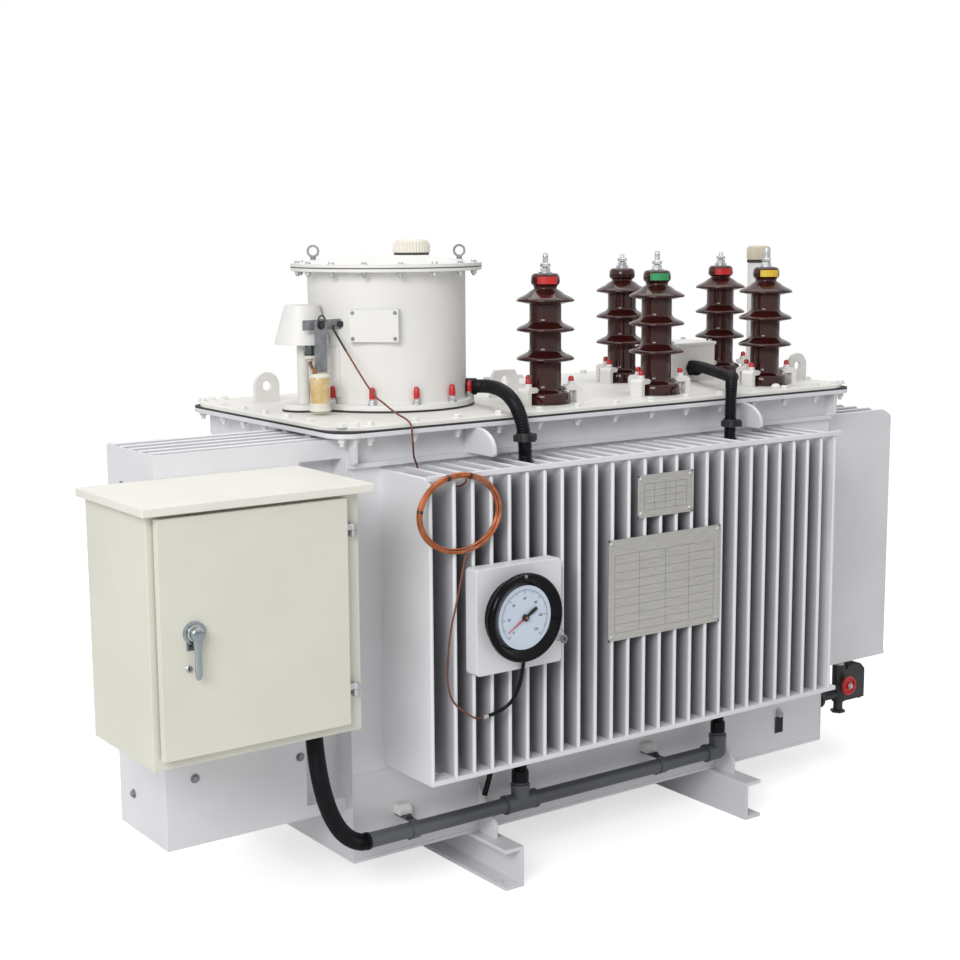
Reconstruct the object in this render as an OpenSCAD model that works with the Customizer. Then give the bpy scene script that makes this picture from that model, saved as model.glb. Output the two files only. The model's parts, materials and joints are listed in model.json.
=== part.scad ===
// Step voltage regulator: an oil-filled tank with cooling fins, a bolted cover
// with five porcelain bushings and a tap-changer turret, and a control cabinet.
// Millimetres. X runs along the tank, Y to its back, Z up. The origin lies on the
// ground, midway between the two skids.

/* [Skids] */
// Height of each skid channel
skid_h = 90; // [70:5:120]
// Flange width of each skid channel
skid_w = 48; // [40:1:60]
// Web and flange thickness of the skid channels
skid_t = 8; // [6:1:12]
// Distance between the two channel webs
skid_gap = 656; // [500:2:760]
// Length of each skid channel
skid_l = 830; // [760:10:1000]
// Diameter of the anchor holes in the lower flanges
anchor_d = 18; // [12:1:22]
// Distance of an anchor hole from the channel's end
anchor_end = 29; // [20:1:50]
// Distance of an anchor hole from the web's outer face
anchor_web = 28; // [22:1:34]

/* [Tank] */
// Length of the tank body
tank_l = 1385; // [1280:5:1500]
// Depth of the tank body
tank_w = 575; // [520:5:640]
// Height of the tank body below its rim flange
tank_h = 891; // [800:1:1000]
// Offset of the tank's middle from the skids' middle
tank_shift = 21; // [0:1:40]
// Wall thickness of the tank
wall_t = 6; // [4:1:10]
// Thickness of the tank's bottom plate
floor_t = 8; // [5:1:14]

/* [Rim and cover] */
// Width of the rim flange outside the wall
rim_out = 46; // [36:1:60]
// Thickness of the rim flange
rim_t = 10; // [6:1:14]
// Corner radius of the rim flange and its gasket
rim_r = 50; // [30:1:70]
// Thickness of the cover gasket
gasket_t = 4; // [3:0.5:8]
// Thickness of the cover plate
cover_t = 8; // [6:1:14]
// Corner radius of the cover plate
cover_r = 85; // [60:1:110]
// Thickness of the gussets below the rim
rim_gusset_t = 10; // [6:1:14]
// Distance from the tank's left corner to the first rim gusset
rim_gusset_x = 290; // [240:1:320]
// Distance between the two middle rim gussets
rim_gusset_gap = 760; // [700:1:800]
// Reach of a rim gusset's foot over the fins
rim_gusset_reach = 104; // [80:1:130]
// Reach of the gussets at the tank's corners
corner_reach = 28; // [20:1:46]
// Distance from the rim flange down to the ledge along the long walls
ledge_down = 55; // [40:1:65]
// Reach of the ledge from the wall
ledge_w = 12; // [6:1:20]

/* [Front and rear fins] */
// Number of fins on the front and on the rear
fin_n = 26; // [20:1:27]
// Distance between neighbouring fins
fin_pitch = 45; // [40:1:46]
// Distance between the end fin and its neighbour
fin_end_pitch = 56; // [50:1:60]
// Distance from the tank's left corner to the end fin's middle
fin_margin = 81; // [60:1:90]
// Depth of a front or rear fin
fin_depth = 180; // [140:5:220]
// Distance from the rim flange down to the top of the front and rear fins
fin_down = 71; // [66:1:100]
// Thickness of every fin
fin_t = 8; // [5:1:12]
// Height of the fins' lower edge above the tank's underside
fin_up = 200; // [160:1:240]
// Corner radius at the fins' outer top
fin_r = 20; // [10:1:40]
// Height of the tie strips along the fin tips
tie_h = 10; // [6:1:14]
// Depth of the upper tie strip
tie_top_w = 12; // [8:1:20]
// Depth of the lower tie strip
tie_low_w = 40; // [20:1:60]
// Overhang of the tie strips past the last fin
tie_over = 19; // [5:1:40]

/* [Right fins] */
// Number of fins on the right end
right_fin_n = 12; // [8:1:12]
// Distance between neighbouring fins on the right end
right_fin_pitch = 47; // [40:1:48]
// Depth of a fin on the right end
right_fin_depth = 265; // [200:5:300]
// Distance from the rim flange down to the top of the right fins
right_fin_down = 61; // [20:1:100]
// Height of the right fins above the tank's underside
right_fin_up = 180; // [160:1:240]

/* [Left fins] */
// Number of fins on the left end
left_fin_n = 5; // [3:1:6]
// Distance between neighbouring fins on the left end
left_fin_pitch = 43; // [38:1:46]
// Depth of a fin on the left end
left_fin_depth = 400; // [360:5:430]
// Distance from the rim flange down to the top of the left fins
left_fin_down = 6; // [5:1:60]
// Height of the left fins above the tank's underside
left_fin_up = 114; // [100:1:150]
// Setback of the shroud from the tank's front wall
shroud_back = 20; // [10:1:40]
// Sheet thickness of the shroud
shroud_t = 3; // [2:0.5:5]
// Width of the window between the shroud and the tank
window_w = 95; // [60:1:110]
// Height of the strip below the window
window_low = 26; // [20:1:60]
// Height of the strip above the window
window_top = 40; // [30:1:60]

/* [Skid gussets] */
// Height of the gussets that stand on the skids
gusset_h = 110; // [80:1:140]
// Reach of the gussets from the tank wall
gusset_reach = 62; // [40:1:80]
// Thickness of the gussets
gusset_t = 8; // [6:1:12]

/* [Lifting lugs] */
// Width of a lifting lug
lug_w = 62; // [50:1:80]
// Height of a lifting lug
lug_h = 68; // [60:1:90]
// Thickness of a lifting lug
lug_t = 10; // [8:1:20]
// Diameter of the hole in a lifting lug
lug_hole_d = 22; // [16:1:28]
// Distance of the left lug from the tank's left end
lug_left = 85; // [70:1:100]
// Distance of the right lug from the tank's right end
lug_right = 0; // [0:1:10]
// Distance of the rear lugs from the tank's rear wall
lug_rear = 88; // [80:1:100]
// Distance of the right lug from the tank's front wall
lug_front = 110; // [95:1:150]

/* [Turret] */
// Distance from the tank's left end to the turret's axis
turret_in = 282; // [250:1:300]
// Outer radius of the turret
turret_r = 173; // [150:1:176]
// Wall thickness of the turret
turret_wall = 5; // [4:1:8]
// Height of the turret's shell above its base ring
turret_h = 279; // [240:1:300]
// Outer radius of the base ring
base_r = 191; // [190:1:205]
// Thickness of the base ring
base_t = 12; // [8:1:16]
// Outer radius of the turret's lid and top flange
lid_r = 209; // [200:1:220]
// Thickness of the turret's top flange
top_flange_t = 8; // [6:1:12]
// Thickness of the lid's rim
lid_t = 8; // [6:1:12]
// Rise of the domed lid
dome_h = 16; // [14:1:30]
// Radius of the base ring's ear below the breather pipe
ear_r = 46; // [36:1:50]
// Distance from the turret's axis to the breather pipe
ear_out = 214; // [208:1:222]
// Radius of the lifting eyes' bores
eye_r = 9; // [7:0.5:11]
// Distance of the lifting eyes from the turret's axis
eye_out = 160; // [150:1:175]
// Radius of the filler cap on the lid
cap_r = 41; // [30:1:42]
// Height of the filler cap on the lid
cap_h = 34; // [20:1:40]
// Width of the cover plate on the turret's side
turret_plate_w = 105; // [90:1:130]
// Height of the cover plate on the turret's side
turret_plate_h = 69; // [60:1:90]

/* [Breather] */
// Radius of the hood's lower edge
hood_r = 60; // [55:1:72]
// Radius of the hood's top
hood_top_r = 37; // [32:1:45]
// Height of the hood
hood_h = 82; // [70:1:100]
// Height of the hood's lower edge above the cover
hood_up = 143; // [130:1:155]
// Radius of the pipe below the hood
pipe_r = 12.5; // [9:0.5:16]
// Radius of the silica gel jar
jar_r = 22; // [18:1:26]
// Height of the silica gel jar with its base and cap
jar_h = 79; // [70:1:84]
// Height of the jar's base above the cover
jar_up = 8; // [4:1:14]

/* [Bushings] */
// Distance of the front bushings from the tank's front wall
front_row = 80; // [70:1:110]
// Distance of the rear bushings from the tank's rear wall
rear_row = 212; // [170:1:230]
// Distance of the first front bushing from the tank's left end
front_start = 562; // [550:1:600]
// Distance of the last front bushing from the tank's right end
front_end = 144; // [130:1:170]
// Place of the middle front bushing, as a share of the way from first to last
front_mid = 0.48; // [0.4:0.01:0.6]
// Distance of the last rear bushing from the tank's right end
rear_end = 24; // [20:1:60]
// Distance between the two rear bushings
rear_gap = 337; // [300:1:380]
// Radius of a bushing's foot
foot_r = 54; // [46:1:58]
// Height of a bushing's foot
foot_h = 25; // [20:1:30]
// Radius of a bushing's body
body_r = 35; // [28:1:38]
// Radius of a bushing's sheds
shed_r = 64; // [50:1:70]
// Height of the lowest shed's edge above the cover
shed_z = 99; // [90:1:105]
// Distance between the sheds
shed_pitch = 64; // [56:1:70]
// Radius of the porcelain cap
bushing_cap_r = 31; // [26:1:34]
// Height of the porcelain above the cover
bushing_h = 286; // [270:1:300]
// Radius of a bushing's terminal stud
stud_r = 6.5; // [5:0.5:8]
// Height of a terminal stud above the porcelain
stud_h = 45; // [30:1:60]

/* [Terminal box and filler] */
// Length of the terminal box on the cover
box_l = 146; // [120:1:170]
// Depth of the terminal box
box_w = 118; // [80:1:120]
// Height of the terminal box
box_h = 88; // [80:1:110]
// Distance of the terminal box from the tank's right end
box_end = 140; // [130:1:150]
// Radius of the filler pipe
filler_r = 26.5; // [24:1:30]
// Height of the filler pipe below its cap
filler_h = 293; // [270:1:310]
// Radius of the filler pipe's cap
filler_cap_r = 29.5; // [31:1:34]

/* [Hoses and conduit] */
// Outer radius of the corrugated hoses from the cover
hose_r = 15; // [10:0.5:15.5]
// Radius of the corrugated hose from the terminal box
box_hose_r = 14; // [10:0.5:15.5]
// Outer radius of the corrugated hose from the cabinet
cab_hose_r = 17.5; // [14:0.5:19]
// Outer radius of the conduit pipe
conduit_r = 16; // [12:0.5:18]
// Height of the conduit's middle above the ground
conduit_z = 160; // [150:1:165]
// Distance of the conduit's middle from the tank's front wall
conduit_out = 60; // [40:1:64]
// Radius of the conduit's fittings
fitting_r = 20; // [18:0.5:22]

/* [Gauge and plates] */
// Width of the gauge's back plate
gauge_plate_w = 212; // [190:1:250]
// Height of the gauge's back plate
gauge_plate_h = 216; // [190:1:230]
// Depth of the gauge plate's lower edge below the fins' top
gauge_down = 400; // [380:5:480]
// Radius of the gauge's case
gauge_r = 90; // [70:1:95]
// Depth of the gauge's case
gauge_depth = 42; // [30:1:50]
// Half the width of the capillary coil, from its middle to its tube's centre line
coil_rx = 94; // [80:1:110]
// Half the height of the capillary coil
coil_rz = 75; // [60:1:110]
// Thickness of the capillary coil's bundle
coil_t = 12; // [8:1:16]
// Width of the rating plate
rating_w = 322; // [260:1:340]
// Height of the rating plate
rating_h = 219; // [180:1:230]
// Width of the side plate
side_plate_w = 158; // [120:1:180]
// Height of the side plate
side_plate_h = 92; // [70:1:110]
// Thickness of the two plates
plate_t = 2; // [1:0.5:3]

/* [Drain valve and earth terminal] */
// Distance of the drain valve from the tank's right end
valve_out = 108; // [85:1:120]
// Height of the drain valve's pipe above the tank's underside
valve_up = 96; // [90:1:115]
// Radius of the valve's hand wheel
wheel_r = 25; // [20:1:30]
// Radius of the valve's spindle
spindle_r = 5; // [4:0.5:6]
// Distance of the earth terminal from the tank's right end
earth_in = 150; // [120:1:180]

/* [Cabinet] */
// Width of the cabinet
cab_w = 418; // [360:2:440]
// Depth of the cabinet
cab_d = 260; // [200:5:300]
// Height of the cabinet below its roof
cab_h = 451; // [400:5:460]
// Height of the cabinet's underside above the ground
cab_up = 464; // [420:1:480]
// Distance from the cabinet's right side to the tank's left end
cab_in = 121; // [110:1:140]
// Sheet thickness of the cabinet
cab_t = 2; // [1.5:0.5:4]
// Thickness of the cabinet's roof
roof_t = 16; // [14:1:30]
// Overhang of the roof in front of the cabinet
roof_over = 30; // [10:1:40]
// Overhang of the roof beside the cabinet
roof_side = 18; // [10:1:40]
// Depth of the door
door_t = 15; // [12:1:20]
// Gap between the door and the cabinet
door_gap = 5; // [4:0.5:6]
// Margin of the door at its handle side
door_left = 11; // [12:1:24]
// Margin of the door at its hinge side
door_right = 34; // [30:1:40]
// Margin of the door at its bottom
door_low = 20; // [16:1:30]
// Margin of the door below the roof
door_top = 7; // [6:1:12]
// Overlap of the door over its opening
door_lap = 9; // [6:1:14]
// Radius of the hinge knuckles
hinge_r = 7; // [5:0.5:8]
// Radius of the hinge pins
pin_r = 3; // [2:0.5:4]
// Distance of each hinge from the door's end
hinge_end = 62; // [40:1:70]
// Distance of the handle from the door's left edge
handle_in = 62; // [45:1:80]
// Height of the handle above the door's lower edge
handle_up = 221; // [180:1:240]
// Radius of the handle's rose
rose_r = 20; // [16:1:24]
// Length of the handle's lever
lever_l = 82; // [60:1:100]

/* [Hidden] */
$fn = 48;

seat = 0.3;       // clearance of a piece that rests close to another
run = 0.05;       // running clearance of a pin in its bore
eps = 1;          // how far a cut reaches past a face

// Tank box
tx0 = tank_shift - tank_l / 2;
tx1 = tank_shift + tank_l / 2;
ty0 = -tank_w / 2;
ty1 = tank_w / 2;
tz0 = skid_h;
rim_z = tz0 + tank_h;
ledge_z = rim_z - ledge_down;
ledge_t = 10;
gasket_z = rim_z + rim_t;
cover_z = gasket_z + gasket_t;
top_z = cover_z + cover_t;

// Fins
fin_z = tz0 + fin_up;
fin_top = rim_z - fin_down;
fin_h = fin_top - fin_z;
tip_y = ty0 - fin_depth;
function fin_x(k) = tx0 + fin_margin + (k == 0 ? 0 : fin_end_pitch + (k - 1) * fin_pitch);
last_fin_x = fin_x(fin_n - 1);
right_fin_z = tz0 + right_fin_up;
right_fin_h = rim_z - right_fin_down - right_fin_z;
right_tip_x = tx1 + right_fin_depth;
left_tip_x = tx0 - left_fin_depth;
left_z = tz0 + left_fin_up;
left_top = rim_z - left_fin_down;
left_fin_h = left_top - left_z;
shroud_y = ty0 + shroud_back;
function left_fin_y(k) = shroud_y + (k + 1) * left_fin_pitch;

// Turret
turret_x = tx0 + turret_in;
base_z = top_z + gasket_t;
shell_z = base_z + base_t;
flange_z = shell_z + turret_h;
lid_z = flange_z + top_flange_t;
ear_x = turret_x - ear_out;

// Bushings
front_y = ty0 + front_row;
rear_y = ty1 - rear_row;
first_x = tx0 + front_start;
last_x = tx1 - front_end;
front_x = [first_x, first_x + front_mid * (last_x - first_x), last_x];
rear_x = [tx1 - rear_end - rear_gap, tx1 - rear_end];

// Cabinet
cab_x1 = tx0 - cab_in;
cab_x0 = cab_x1 - cab_w;
cab_y1 = shroud_y;
cab_y0 = cab_y1 - cab_d;
cab_top = cab_up + cab_h;
door_x0 = cab_x0 + door_left;
door_x1 = cab_x1 - door_right;
door_z0 = cab_up + door_low;
door_z1 = cab_top - door_top;
door_y1 = cab_y0 - door_gap;
door_y0 = door_y1 - door_t;
hinge_x = cab_x1 - door_right / 2;
hinge_y = door_y1 - door_t / 3;
handle_x = door_x0 + handle_in;
handle_z = door_z0 + handle_up;

// ---------- helpers ----------

module block(p, q) { translate(p) cube(q - p); }

module rounded_plate(x0, y0, x1, y1, r, z, t) {
    translate([0, 0, z]) linear_extrude(t) difference() {
        translate([x0, y0]) square([x1 - x0, y1 - y0]);
        for (c = [[x0, y0, 1, 1], [x1, y0, -1, 1], [x0, y1, 1, -1], [x1, y1, -1, -1]])
            translate([c[0], c[1]]) scale([c[2], c[3]]) difference() {
                translate([-eps, -eps]) square(r + eps);
                translate([r, r]) circle(r);
            }
    }
}

// A point on a cubic curve from a to d with the handles b and c
function curve_at(a, b, c, d, t) =
    pow(1 - t, 3) * a + 3 * pow(1 - t, 2) * t * b + 3 * (1 - t) * t * t * c + pow(t, 3) * d;
function curve(a, b, c, d, n) = [for (k = [0:n]) curve_at(a, b, c, d, k / n)];

function unit(v) = v / norm(v);
function along(p, k) = unit(p[min(k + 1, len(p) - 1)] - p[max(k - 1, 0)]);
function side_from(v, w) = unit(v - (v * w) * w);
// Sideways directions of a path, each carried over from the one before
function sides(p, k = 0, v = [0, 1, 0], acc = []) =
    k == len(p) ? acc
    : let (w = along(p, k), s = side_from(v, w)) sides(p, k + 1, s, concat(acc, [s]));

// A round tube swept along the path p
module tube(p, r, n, first = [0.13, 1, 0.07]) {
    s = sides(p, 0, first);
    rings = [for (k = [0:len(p) - 1]) let (u = s[k], v = cross(along(p, k), u))
        for (j = [0:n - 1]) p[k] + r * (cos(360 * j / n) * u + sin(360 * j / n) * v)];
    last = (len(p) - 1) * n;
    polyhedron(rings, concat(
        [[for (j = [0:n - 1]) n - 1 - j]],
        [for (k = [0:len(p) - 2]) for (j = [0:n - 1])
            [k * n + j, k * n + (j + 1) % n, (k + 1) * n + (j + 1) % n, (k + 1) * n + j]],
        [[for (j = [0:n - 1]) last + j]]), convexity = 6);
}

// ---------- skids ----------

module skid() {
    color("gainsboro") difference() {
        union() {
            block([skid_gap / 2, -skid_l / 2, 0], [skid_gap / 2 + skid_t, skid_l / 2, skid_h]);
            for (z = [0, skid_h - skid_t])
                block([skid_gap / 2, -skid_l / 2, z], [skid_gap / 2 + skid_w, skid_l / 2, z + skid_t]);
        }
        for (y = [-1, 1])
            translate([skid_gap / 2 + anchor_web, y * (skid_l / 2 - anchor_end), -eps])
                cylinder(d = anchor_d, h = skid_t + 2 * eps);
    }
}
module left_skid() { mirror([1, 0, 0]) skid(); }
module right_skid() { skid(); }

// Triangular plates between the tank's long walls and the skids
module skid_gussets() {
    x = skid_gap / 2 + skid_w / 2;
    color("gainsboro")
        for (sx = [-1, 1]) for (sy = [0, 1]) mirror([0, sy, 0])
            translate([sx * x - gusset_t / 2, ty0, tz0]) rotate([90, 0, 90]) linear_extrude(gusset_t)
                polygon([[0, 0], [-gusset_reach, 0], [-gusset_reach, gusset_h * 0.3], [0, gusset_h]]);
}

// ---------- tank ----------

module tank_floor() { color("lavender") block([tx0, ty0, tz0], [tx1, ty1, tz0 + floor_t]); }

module tank_walls() {
    color("lavender") difference() {
        block([tx0, ty0, tz0 + floor_t], [tx1, ty1, rim_z]);
        block([tx0 + wall_t, ty0 + wall_t, tz0], [tx1 - wall_t, ty1 - wall_t, rim_z + eps]);
    }
}

module rim_outline(r, z, t) {
    rounded_plate(tx0 - rim_out, ty0 - rim_out, tx1 + rim_out, ty1 + rim_out, r, z, t);
}

module rim_ring(r, z, t) {
    difference() {
        rim_outline(r, z, t);
        block([tx0 + wall_t, ty0 + wall_t, z - eps], [tx1 - wall_t, ty1 - wall_t, z + t + eps]);
    }
}

module rim_flange() { color("lavender") rim_ring(rim_r, rim_z, rim_t); }
module cover_gasket() { color("black") rim_ring(rim_r, gasket_z, gasket_t); }
module tank_cover() { color("ivory") rim_outline(cover_r, cover_z, cover_t); }

// Curved gussets between a long wall's ledge and the rim flange
module rim_gusset(reach, foot_z) {
    top = rim_z - foot_z;
    foot = top * 0.2;
    bulge = [for (a = [0:15:90]) [-rim_out - (reach - rim_out) * cos(a), foot + (top - foot) * sin(a)]];
    edge = reach > rim_out ? bulge : [[-reach, top]];
    translate([-rim_gusset_t / 2, 0, foot_z]) rotate([90, 0, 90]) linear_extrude(rim_gusset_t)
        polygon(concat([[0, top], [0, 0], [4 - reach, 0], [-reach, 4]], edge));
}

module rim_gussets() {
    color("lavender")
        for (sy = [0, 1]) mirror([0, sy, 0]) {
            for (x = [tx0 + rim_gusset_x, tx0 + rim_gusset_x + rim_gusset_gap])
                translate([x, ty0, 0]) rim_gusset(rim_gusset_reach, ledge_z);
            for (x = [tx0 + rim_gusset_t / 2, tx1 - rim_gusset_t / 2])
                translate([x, ty0, 0]) rim_gusset(corner_reach, ledge_z);
            block([tx0, ty0 - ledge_w, ledge_z - ledge_t], [tx1, ty0, ledge_z]);
        }
}

// ---------- fins ----------

// One plate from the wall line, out along -Y, with a rounded outer top corner
module fin(depth, h, r) {
    translate([-fin_t / 2, 0, 0]) rotate([90, 0, 90]) linear_extrude(fin_t) difference() {
        translate([-depth, 0]) square([depth, h]);
        translate([-depth, h]) difference() {
            translate([-eps, -r]) square(r + eps);
            translate([r, -r]) circle(r);
        }
    }
}

module long_fins() {
    for (k = [0:fin_n - 1])
        translate([fin_x(k), ty0, fin_z]) fin(fin_depth, fin_h, fin_r);
    x0 = fin_x(0) - fin_t / 2;
    x1 = last_fin_x + fin_t / 2 + tie_over;
    block([x0, tip_y, fin_z], [x1, tip_y + tie_low_w, fin_z + tie_h]);
    block([x0, tip_y, fin_top - tie_h * 0.6], [x1, tip_y + tie_top_w, fin_top + tie_h * 0.4]);
}

module front_fins() { color("lavender") long_fins(); }
module rear_fins() { color("lavender") mirror([0, 1, 0]) long_fins(); }

module right_fins() {
    y0 = -right_fin_pitch * (right_fin_n - 1) / 2;
    color("lavender") {
        for (k = [0:right_fin_n - 1])
            translate([tx1, y0 + k * right_fin_pitch, right_fin_z]) rotate([0, 0, 90])
                fin(right_fin_depth, right_fin_h, fin_r * 1.5);
        block([right_tip_x - tie_low_w, y0, right_fin_z],
            [right_tip_x, -y0, right_fin_z + tie_h]);
    }
}

module left_fins() {
    color("lavender") {
        for (k = [0:left_fin_n - 1])
            translate([tx0, left_fin_y(k), left_z]) rotate([0, 0, -90])
                fin(left_fin_depth, left_fin_h, 1);
        block([left_tip_x, left_fin_y(0), left_z],
            [left_tip_x + tie_low_w, left_fin_y(left_fin_n - 1), left_z + tie_h]);
    }
}

// Folded sheet in front of the left fins and round their tips
module fin_shroud() {
    color("white") {
        difference() {
            block([left_tip_x - shroud_t, shroud_y, left_z], [tx0, shroud_y + shroud_t, left_top]);
            block([tx0 - window_w, shroud_y - eps, left_z + window_low],
                [tx0 + eps, shroud_y + shroud_t + eps, left_top - window_top]);
        }
        block([left_tip_x - shroud_t, shroud_y, left_z],
            [left_tip_x, left_fin_y(left_fin_n - 1) + fin_t / 2, left_top]);
    }
}

// ---------- cover fittings ----------

module lug() {
    translate([0, lug_t / 2, 0]) rotate([90, 0, 0]) linear_extrude(lug_t) difference() {
        union() {
            translate([-lug_w / 2, 0]) square([lug_w, lug_h - lug_w / 2]);
            translate([0, lug_h - lug_w / 2]) circle(d = lug_w);
        }
        translate([0, lug_h - lug_w / 2]) circle(d = lug_hole_d);
    }
}

// Broader lug with cut corners, for the middle of the cover
module wide_lug() {
    w = wide_lug_w / 2;
    translate([0, lug_t / 2, 0]) rotate([90, 0, 0]) linear_extrude(lug_t) difference() {
        polygon([[-w, 0], [w, 0], [w, wide_lug_h - 21], [w - 13, wide_lug_h],
            [13 - w, wide_lug_h], [-w, wide_lug_h - 21]]);
        translate([0, wide_lug_h - 26]) circle(d = lug_hole_d);
    }
}

lug_places = [[tx0 + lug_left, ty1 - lug_rear], [tx1 - lug_right, ty0 + lug_front]];
wide_lug_at = [turret_x + 293, -36];
wide_lug_w = 80;
wide_lug_h = 62;

module lifting_lugs() {
    color("lavender") {
        for (p = lug_places) translate([p[0], p[1], top_z]) lug();
        translate([wide_lug_at[0], wide_lug_at[1], top_z]) wide_lug();
    }
}

module base_outline(t) {
    linear_extrude(t) {
        translate([turret_x, 0]) circle(base_r, $fn = 96);
        translate([ear_x, 0]) circle(ear_r);
    }
}

module turret_gasket() { color("black") translate([0, 0, top_z]) base_outline(gasket_t); }
module turret_base() { color("ivory") translate([0, 0, base_z]) base_outline(base_t); }

module turret_shell() {
    color("ivory") translate([turret_x, 0, shell_z]) difference() {
        union() {
            cylinder(r = turret_r, h = turret_h, $fn = 96);
            translate([0, 0, turret_h]) cylinder(r = lid_r, h = top_flange_t, $fn = 96);
        }
        translate([0, 0, -eps])
            cylinder(r = turret_r - turret_wall, h = turret_h + top_flange_t + 2 * eps, $fn = 96);
    }
}

dome_r = lid_r - 14;
dome_flat = 90;
// Height of the lid's top above its underside at the radius r
function lid_at(r) = lid_t + dome_h * min(1, max(0, (dome_r - r) / (dome_r - dome_flat)));
module turret_lid() {
    color("ivory") translate([turret_x, 0, lid_z]) rotate_extrude($fn = 96)
        polygon([[0, 0], [lid_r, 0], [lid_r, lid_t], [dome_r, lid_t],
            [dome_flat, lid_t + dome_h], [0, lid_t + dome_h]]);
    color("ivory") for (a = eye_angles)
        translate(eye_at(a) - [0, 0, eye_boss]) cylinder(r = 9, h = eye_boss);
}

eye_h = 6;
eye_ring = 5;
eye_boss = 8;
eye_angles = [-35, 145];
function eye_at(a) = [turret_x + eye_out * cos(a), eye_out * sin(a), lid_z + lid_at(eye_out - 9)];
// Lifting eyes: a collar on the lid with a bored ring above it
module lid_eyes() {
    color("silver") for (a = eye_angles)
        translate(eye_at(a)) rotate([0, 0, a]) {
            cylinder(r = 6, h = eye_h);
            translate([0, 0, eye_h + eye_r + eye_ring - 1.5]) rotate([90, 0, 0]) difference() {
                cylinder(r = eye_r + eye_ring, h = eye_ring, center = true);
                cylinder(r = eye_r, h = eye_ring + 2 * eps, center = true);
            }
        }
}

cap_at = [turret_x + 52, -22, lid_z + lid_t + dome_h];
module lid_cap() {
    color("ivory") translate(cap_at) rotate_extrude()
        polygon([[0, 0], [cap_r * 0.9, 0], [cap_r, 3], [cap_r, cap_h - 14],
            [cap_r - 3, cap_h - 6], [cap_r - 10, cap_h], [0, cap_h]]);
}

plate_turn = -41;
plate_depth = 14;
module turret_plate() {
    z = shell_z + turret_h * 0.6;
    color("ivory") translate([turret_x, 0, z]) rotate([0, 0, plate_turn]) difference() {
        translate([-turret_plate_w / 2, -turret_r - plate_depth, -turret_plate_h / 2])
            cube([turret_plate_w, plate_depth + 30, turret_plate_h]);
        cylinder(r = turret_r, h = turret_plate_h + 2 * eps, center = true, $fn = 96);
    }
}

// ---------- breather ----------

hood_z = top_z + hood_up;
module breather_hood() {
    color("ivory") difference() {
        translate([ear_x, 0, hood_z]) cylinder(r1 = hood_r, r2 = hood_top_r, h = hood_h, $fn = 64);
        translate([turret_x, 0, hood_z - eps]) cylinder(r = turret_r, h = hood_h + 2 * eps, $fn = 96);
    }
}

module breather_pipe() {
    color("ivory") translate([ear_x, 0, shell_z]) cylinder(r = pipe_r, h = hood_z - shell_z);
}

arm_y = -66;
arm_z = top_z + 186;
arm_w = 5;
arm_h = 21;
arm_x0 = turret_x - 249;
jar_x = turret_x - 230;
jar_y = -98;
jar_z = top_z + jar_up;
strap_x0 = jar_x + 1;
strap_w = 27;
strap_y = jar_y + 18;
// Flat bar from the turret's side, a pin on it and the strap that carries the breather
module breather_bracket() {
    color("silver") {
        difference() {
            block([arm_x0, arm_y - arm_w / 2, arm_z - arm_h / 2],
                [turret_x - turret_r * 0.8, arm_y + arm_w / 2, arm_z + arm_h / 2]);
            translate([turret_x, 0, arm_z - arm_h]) cylinder(r = turret_r, h = 2 * arm_h, $fn = 96);
        }
        translate([strap_x0 + strap_w / 2, strap_y, arm_z]) rotate([-90, 0, 0])
            cylinder(r = 8, h = arm_y - strap_y);
        translate([0, strap_y + arm_w / 2, 0]) rotate([90, 0, 0]) linear_extrude(arm_w) {
            translate([strap_x0, jar_z + jar_h + seat])
                square([strap_w, arm_z - jar_z - jar_h - seat]);
            translate([strap_x0 + strap_w / 2, arm_z]) circle(d = strap_w);
        }
    }
}

cup_x = turret_x - 221;
cup_y = -44;
cup_h = 25;
// Sight cup below the hood
module sight_cup() {
    color("darkgoldenrod") translate([cup_x, cup_y, hood_z - cup_h]) rotate_extrude()
        polygon([[0, -4], [15, -4], [15, 0], [11.5, 0], [11.5, cup_h], [0, cup_h]]);
}

// Brass tube from the sight cup to the breather's cap
module breather_tube() {
    from = [cup_x, cup_y, hood_z - cup_h - 4];
    to = [jar_x - 9, jar_y + 4, jar_z + jar_h];
    color("darkgoldenrod") tube(concat([from], curve(from - [0, 0, 3], from - [0, 0, 14],
        to + [0, 20, 16], to + [0, 0, 6], 8), [to]), 4, 10);
}

module breather_jar() {
    r = jar_r;
    color("goldenrod") translate([jar_x, jar_y, jar_z]) rotate_extrude()
        polygon([[0, 0], [r + 1, 0], [r + 1, 4], [r, 4], [r, 21], [r - 1, 21],
            [r - 1, jar_h - 12], [r, jar_h - 12], [r, jar_h - 5], [r - 6, jar_h], [0, jar_h]]);
}

// ---------- bushings ----------

// Outline of one shed whose outer edge lies at height z
function shed(z) = [[body_r, z - 8], [shed_r - 6, z - 3], [shed_r, z], [shed_r - 2, z + 3],
    [body_r + 10, z + 12], [body_r, z + 20]];

module bushing(stud) {
    top = bushing_h;
    neck_z = shed_z + 2 * shed_pitch + 30;
    color("maroon") rotate_extrude($fn = 64) polygon(concat(
        [[0, 0], [foot_r, 0], [foot_r, foot_h - 5], [foot_r - 5, foot_h], [body_r + 8, foot_h + 3],
            [body_r, foot_h + 14]],
        shed(shed_z), shed(shed_z + shed_pitch),
        [for (p = shed(shed_z + 2 * shed_pitch)) if (p[1] < neck_z - 9) p],
        [[body_r - 8, neck_z], [bushing_cap_r, neck_z + 5], [bushing_cap_r, top - 5],
            [bushing_cap_r - 4, top], [0, top]]));
    color("silver") translate([0, 0, top]) rotate_extrude()
        polygon([[0, 0], [14, 0], [14, 3], [11, 3], [11, 20], [stud_r, 20],
            [stud_r, stud - 5], [stud_r - 4, stud], [0, stud]]);
}

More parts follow.
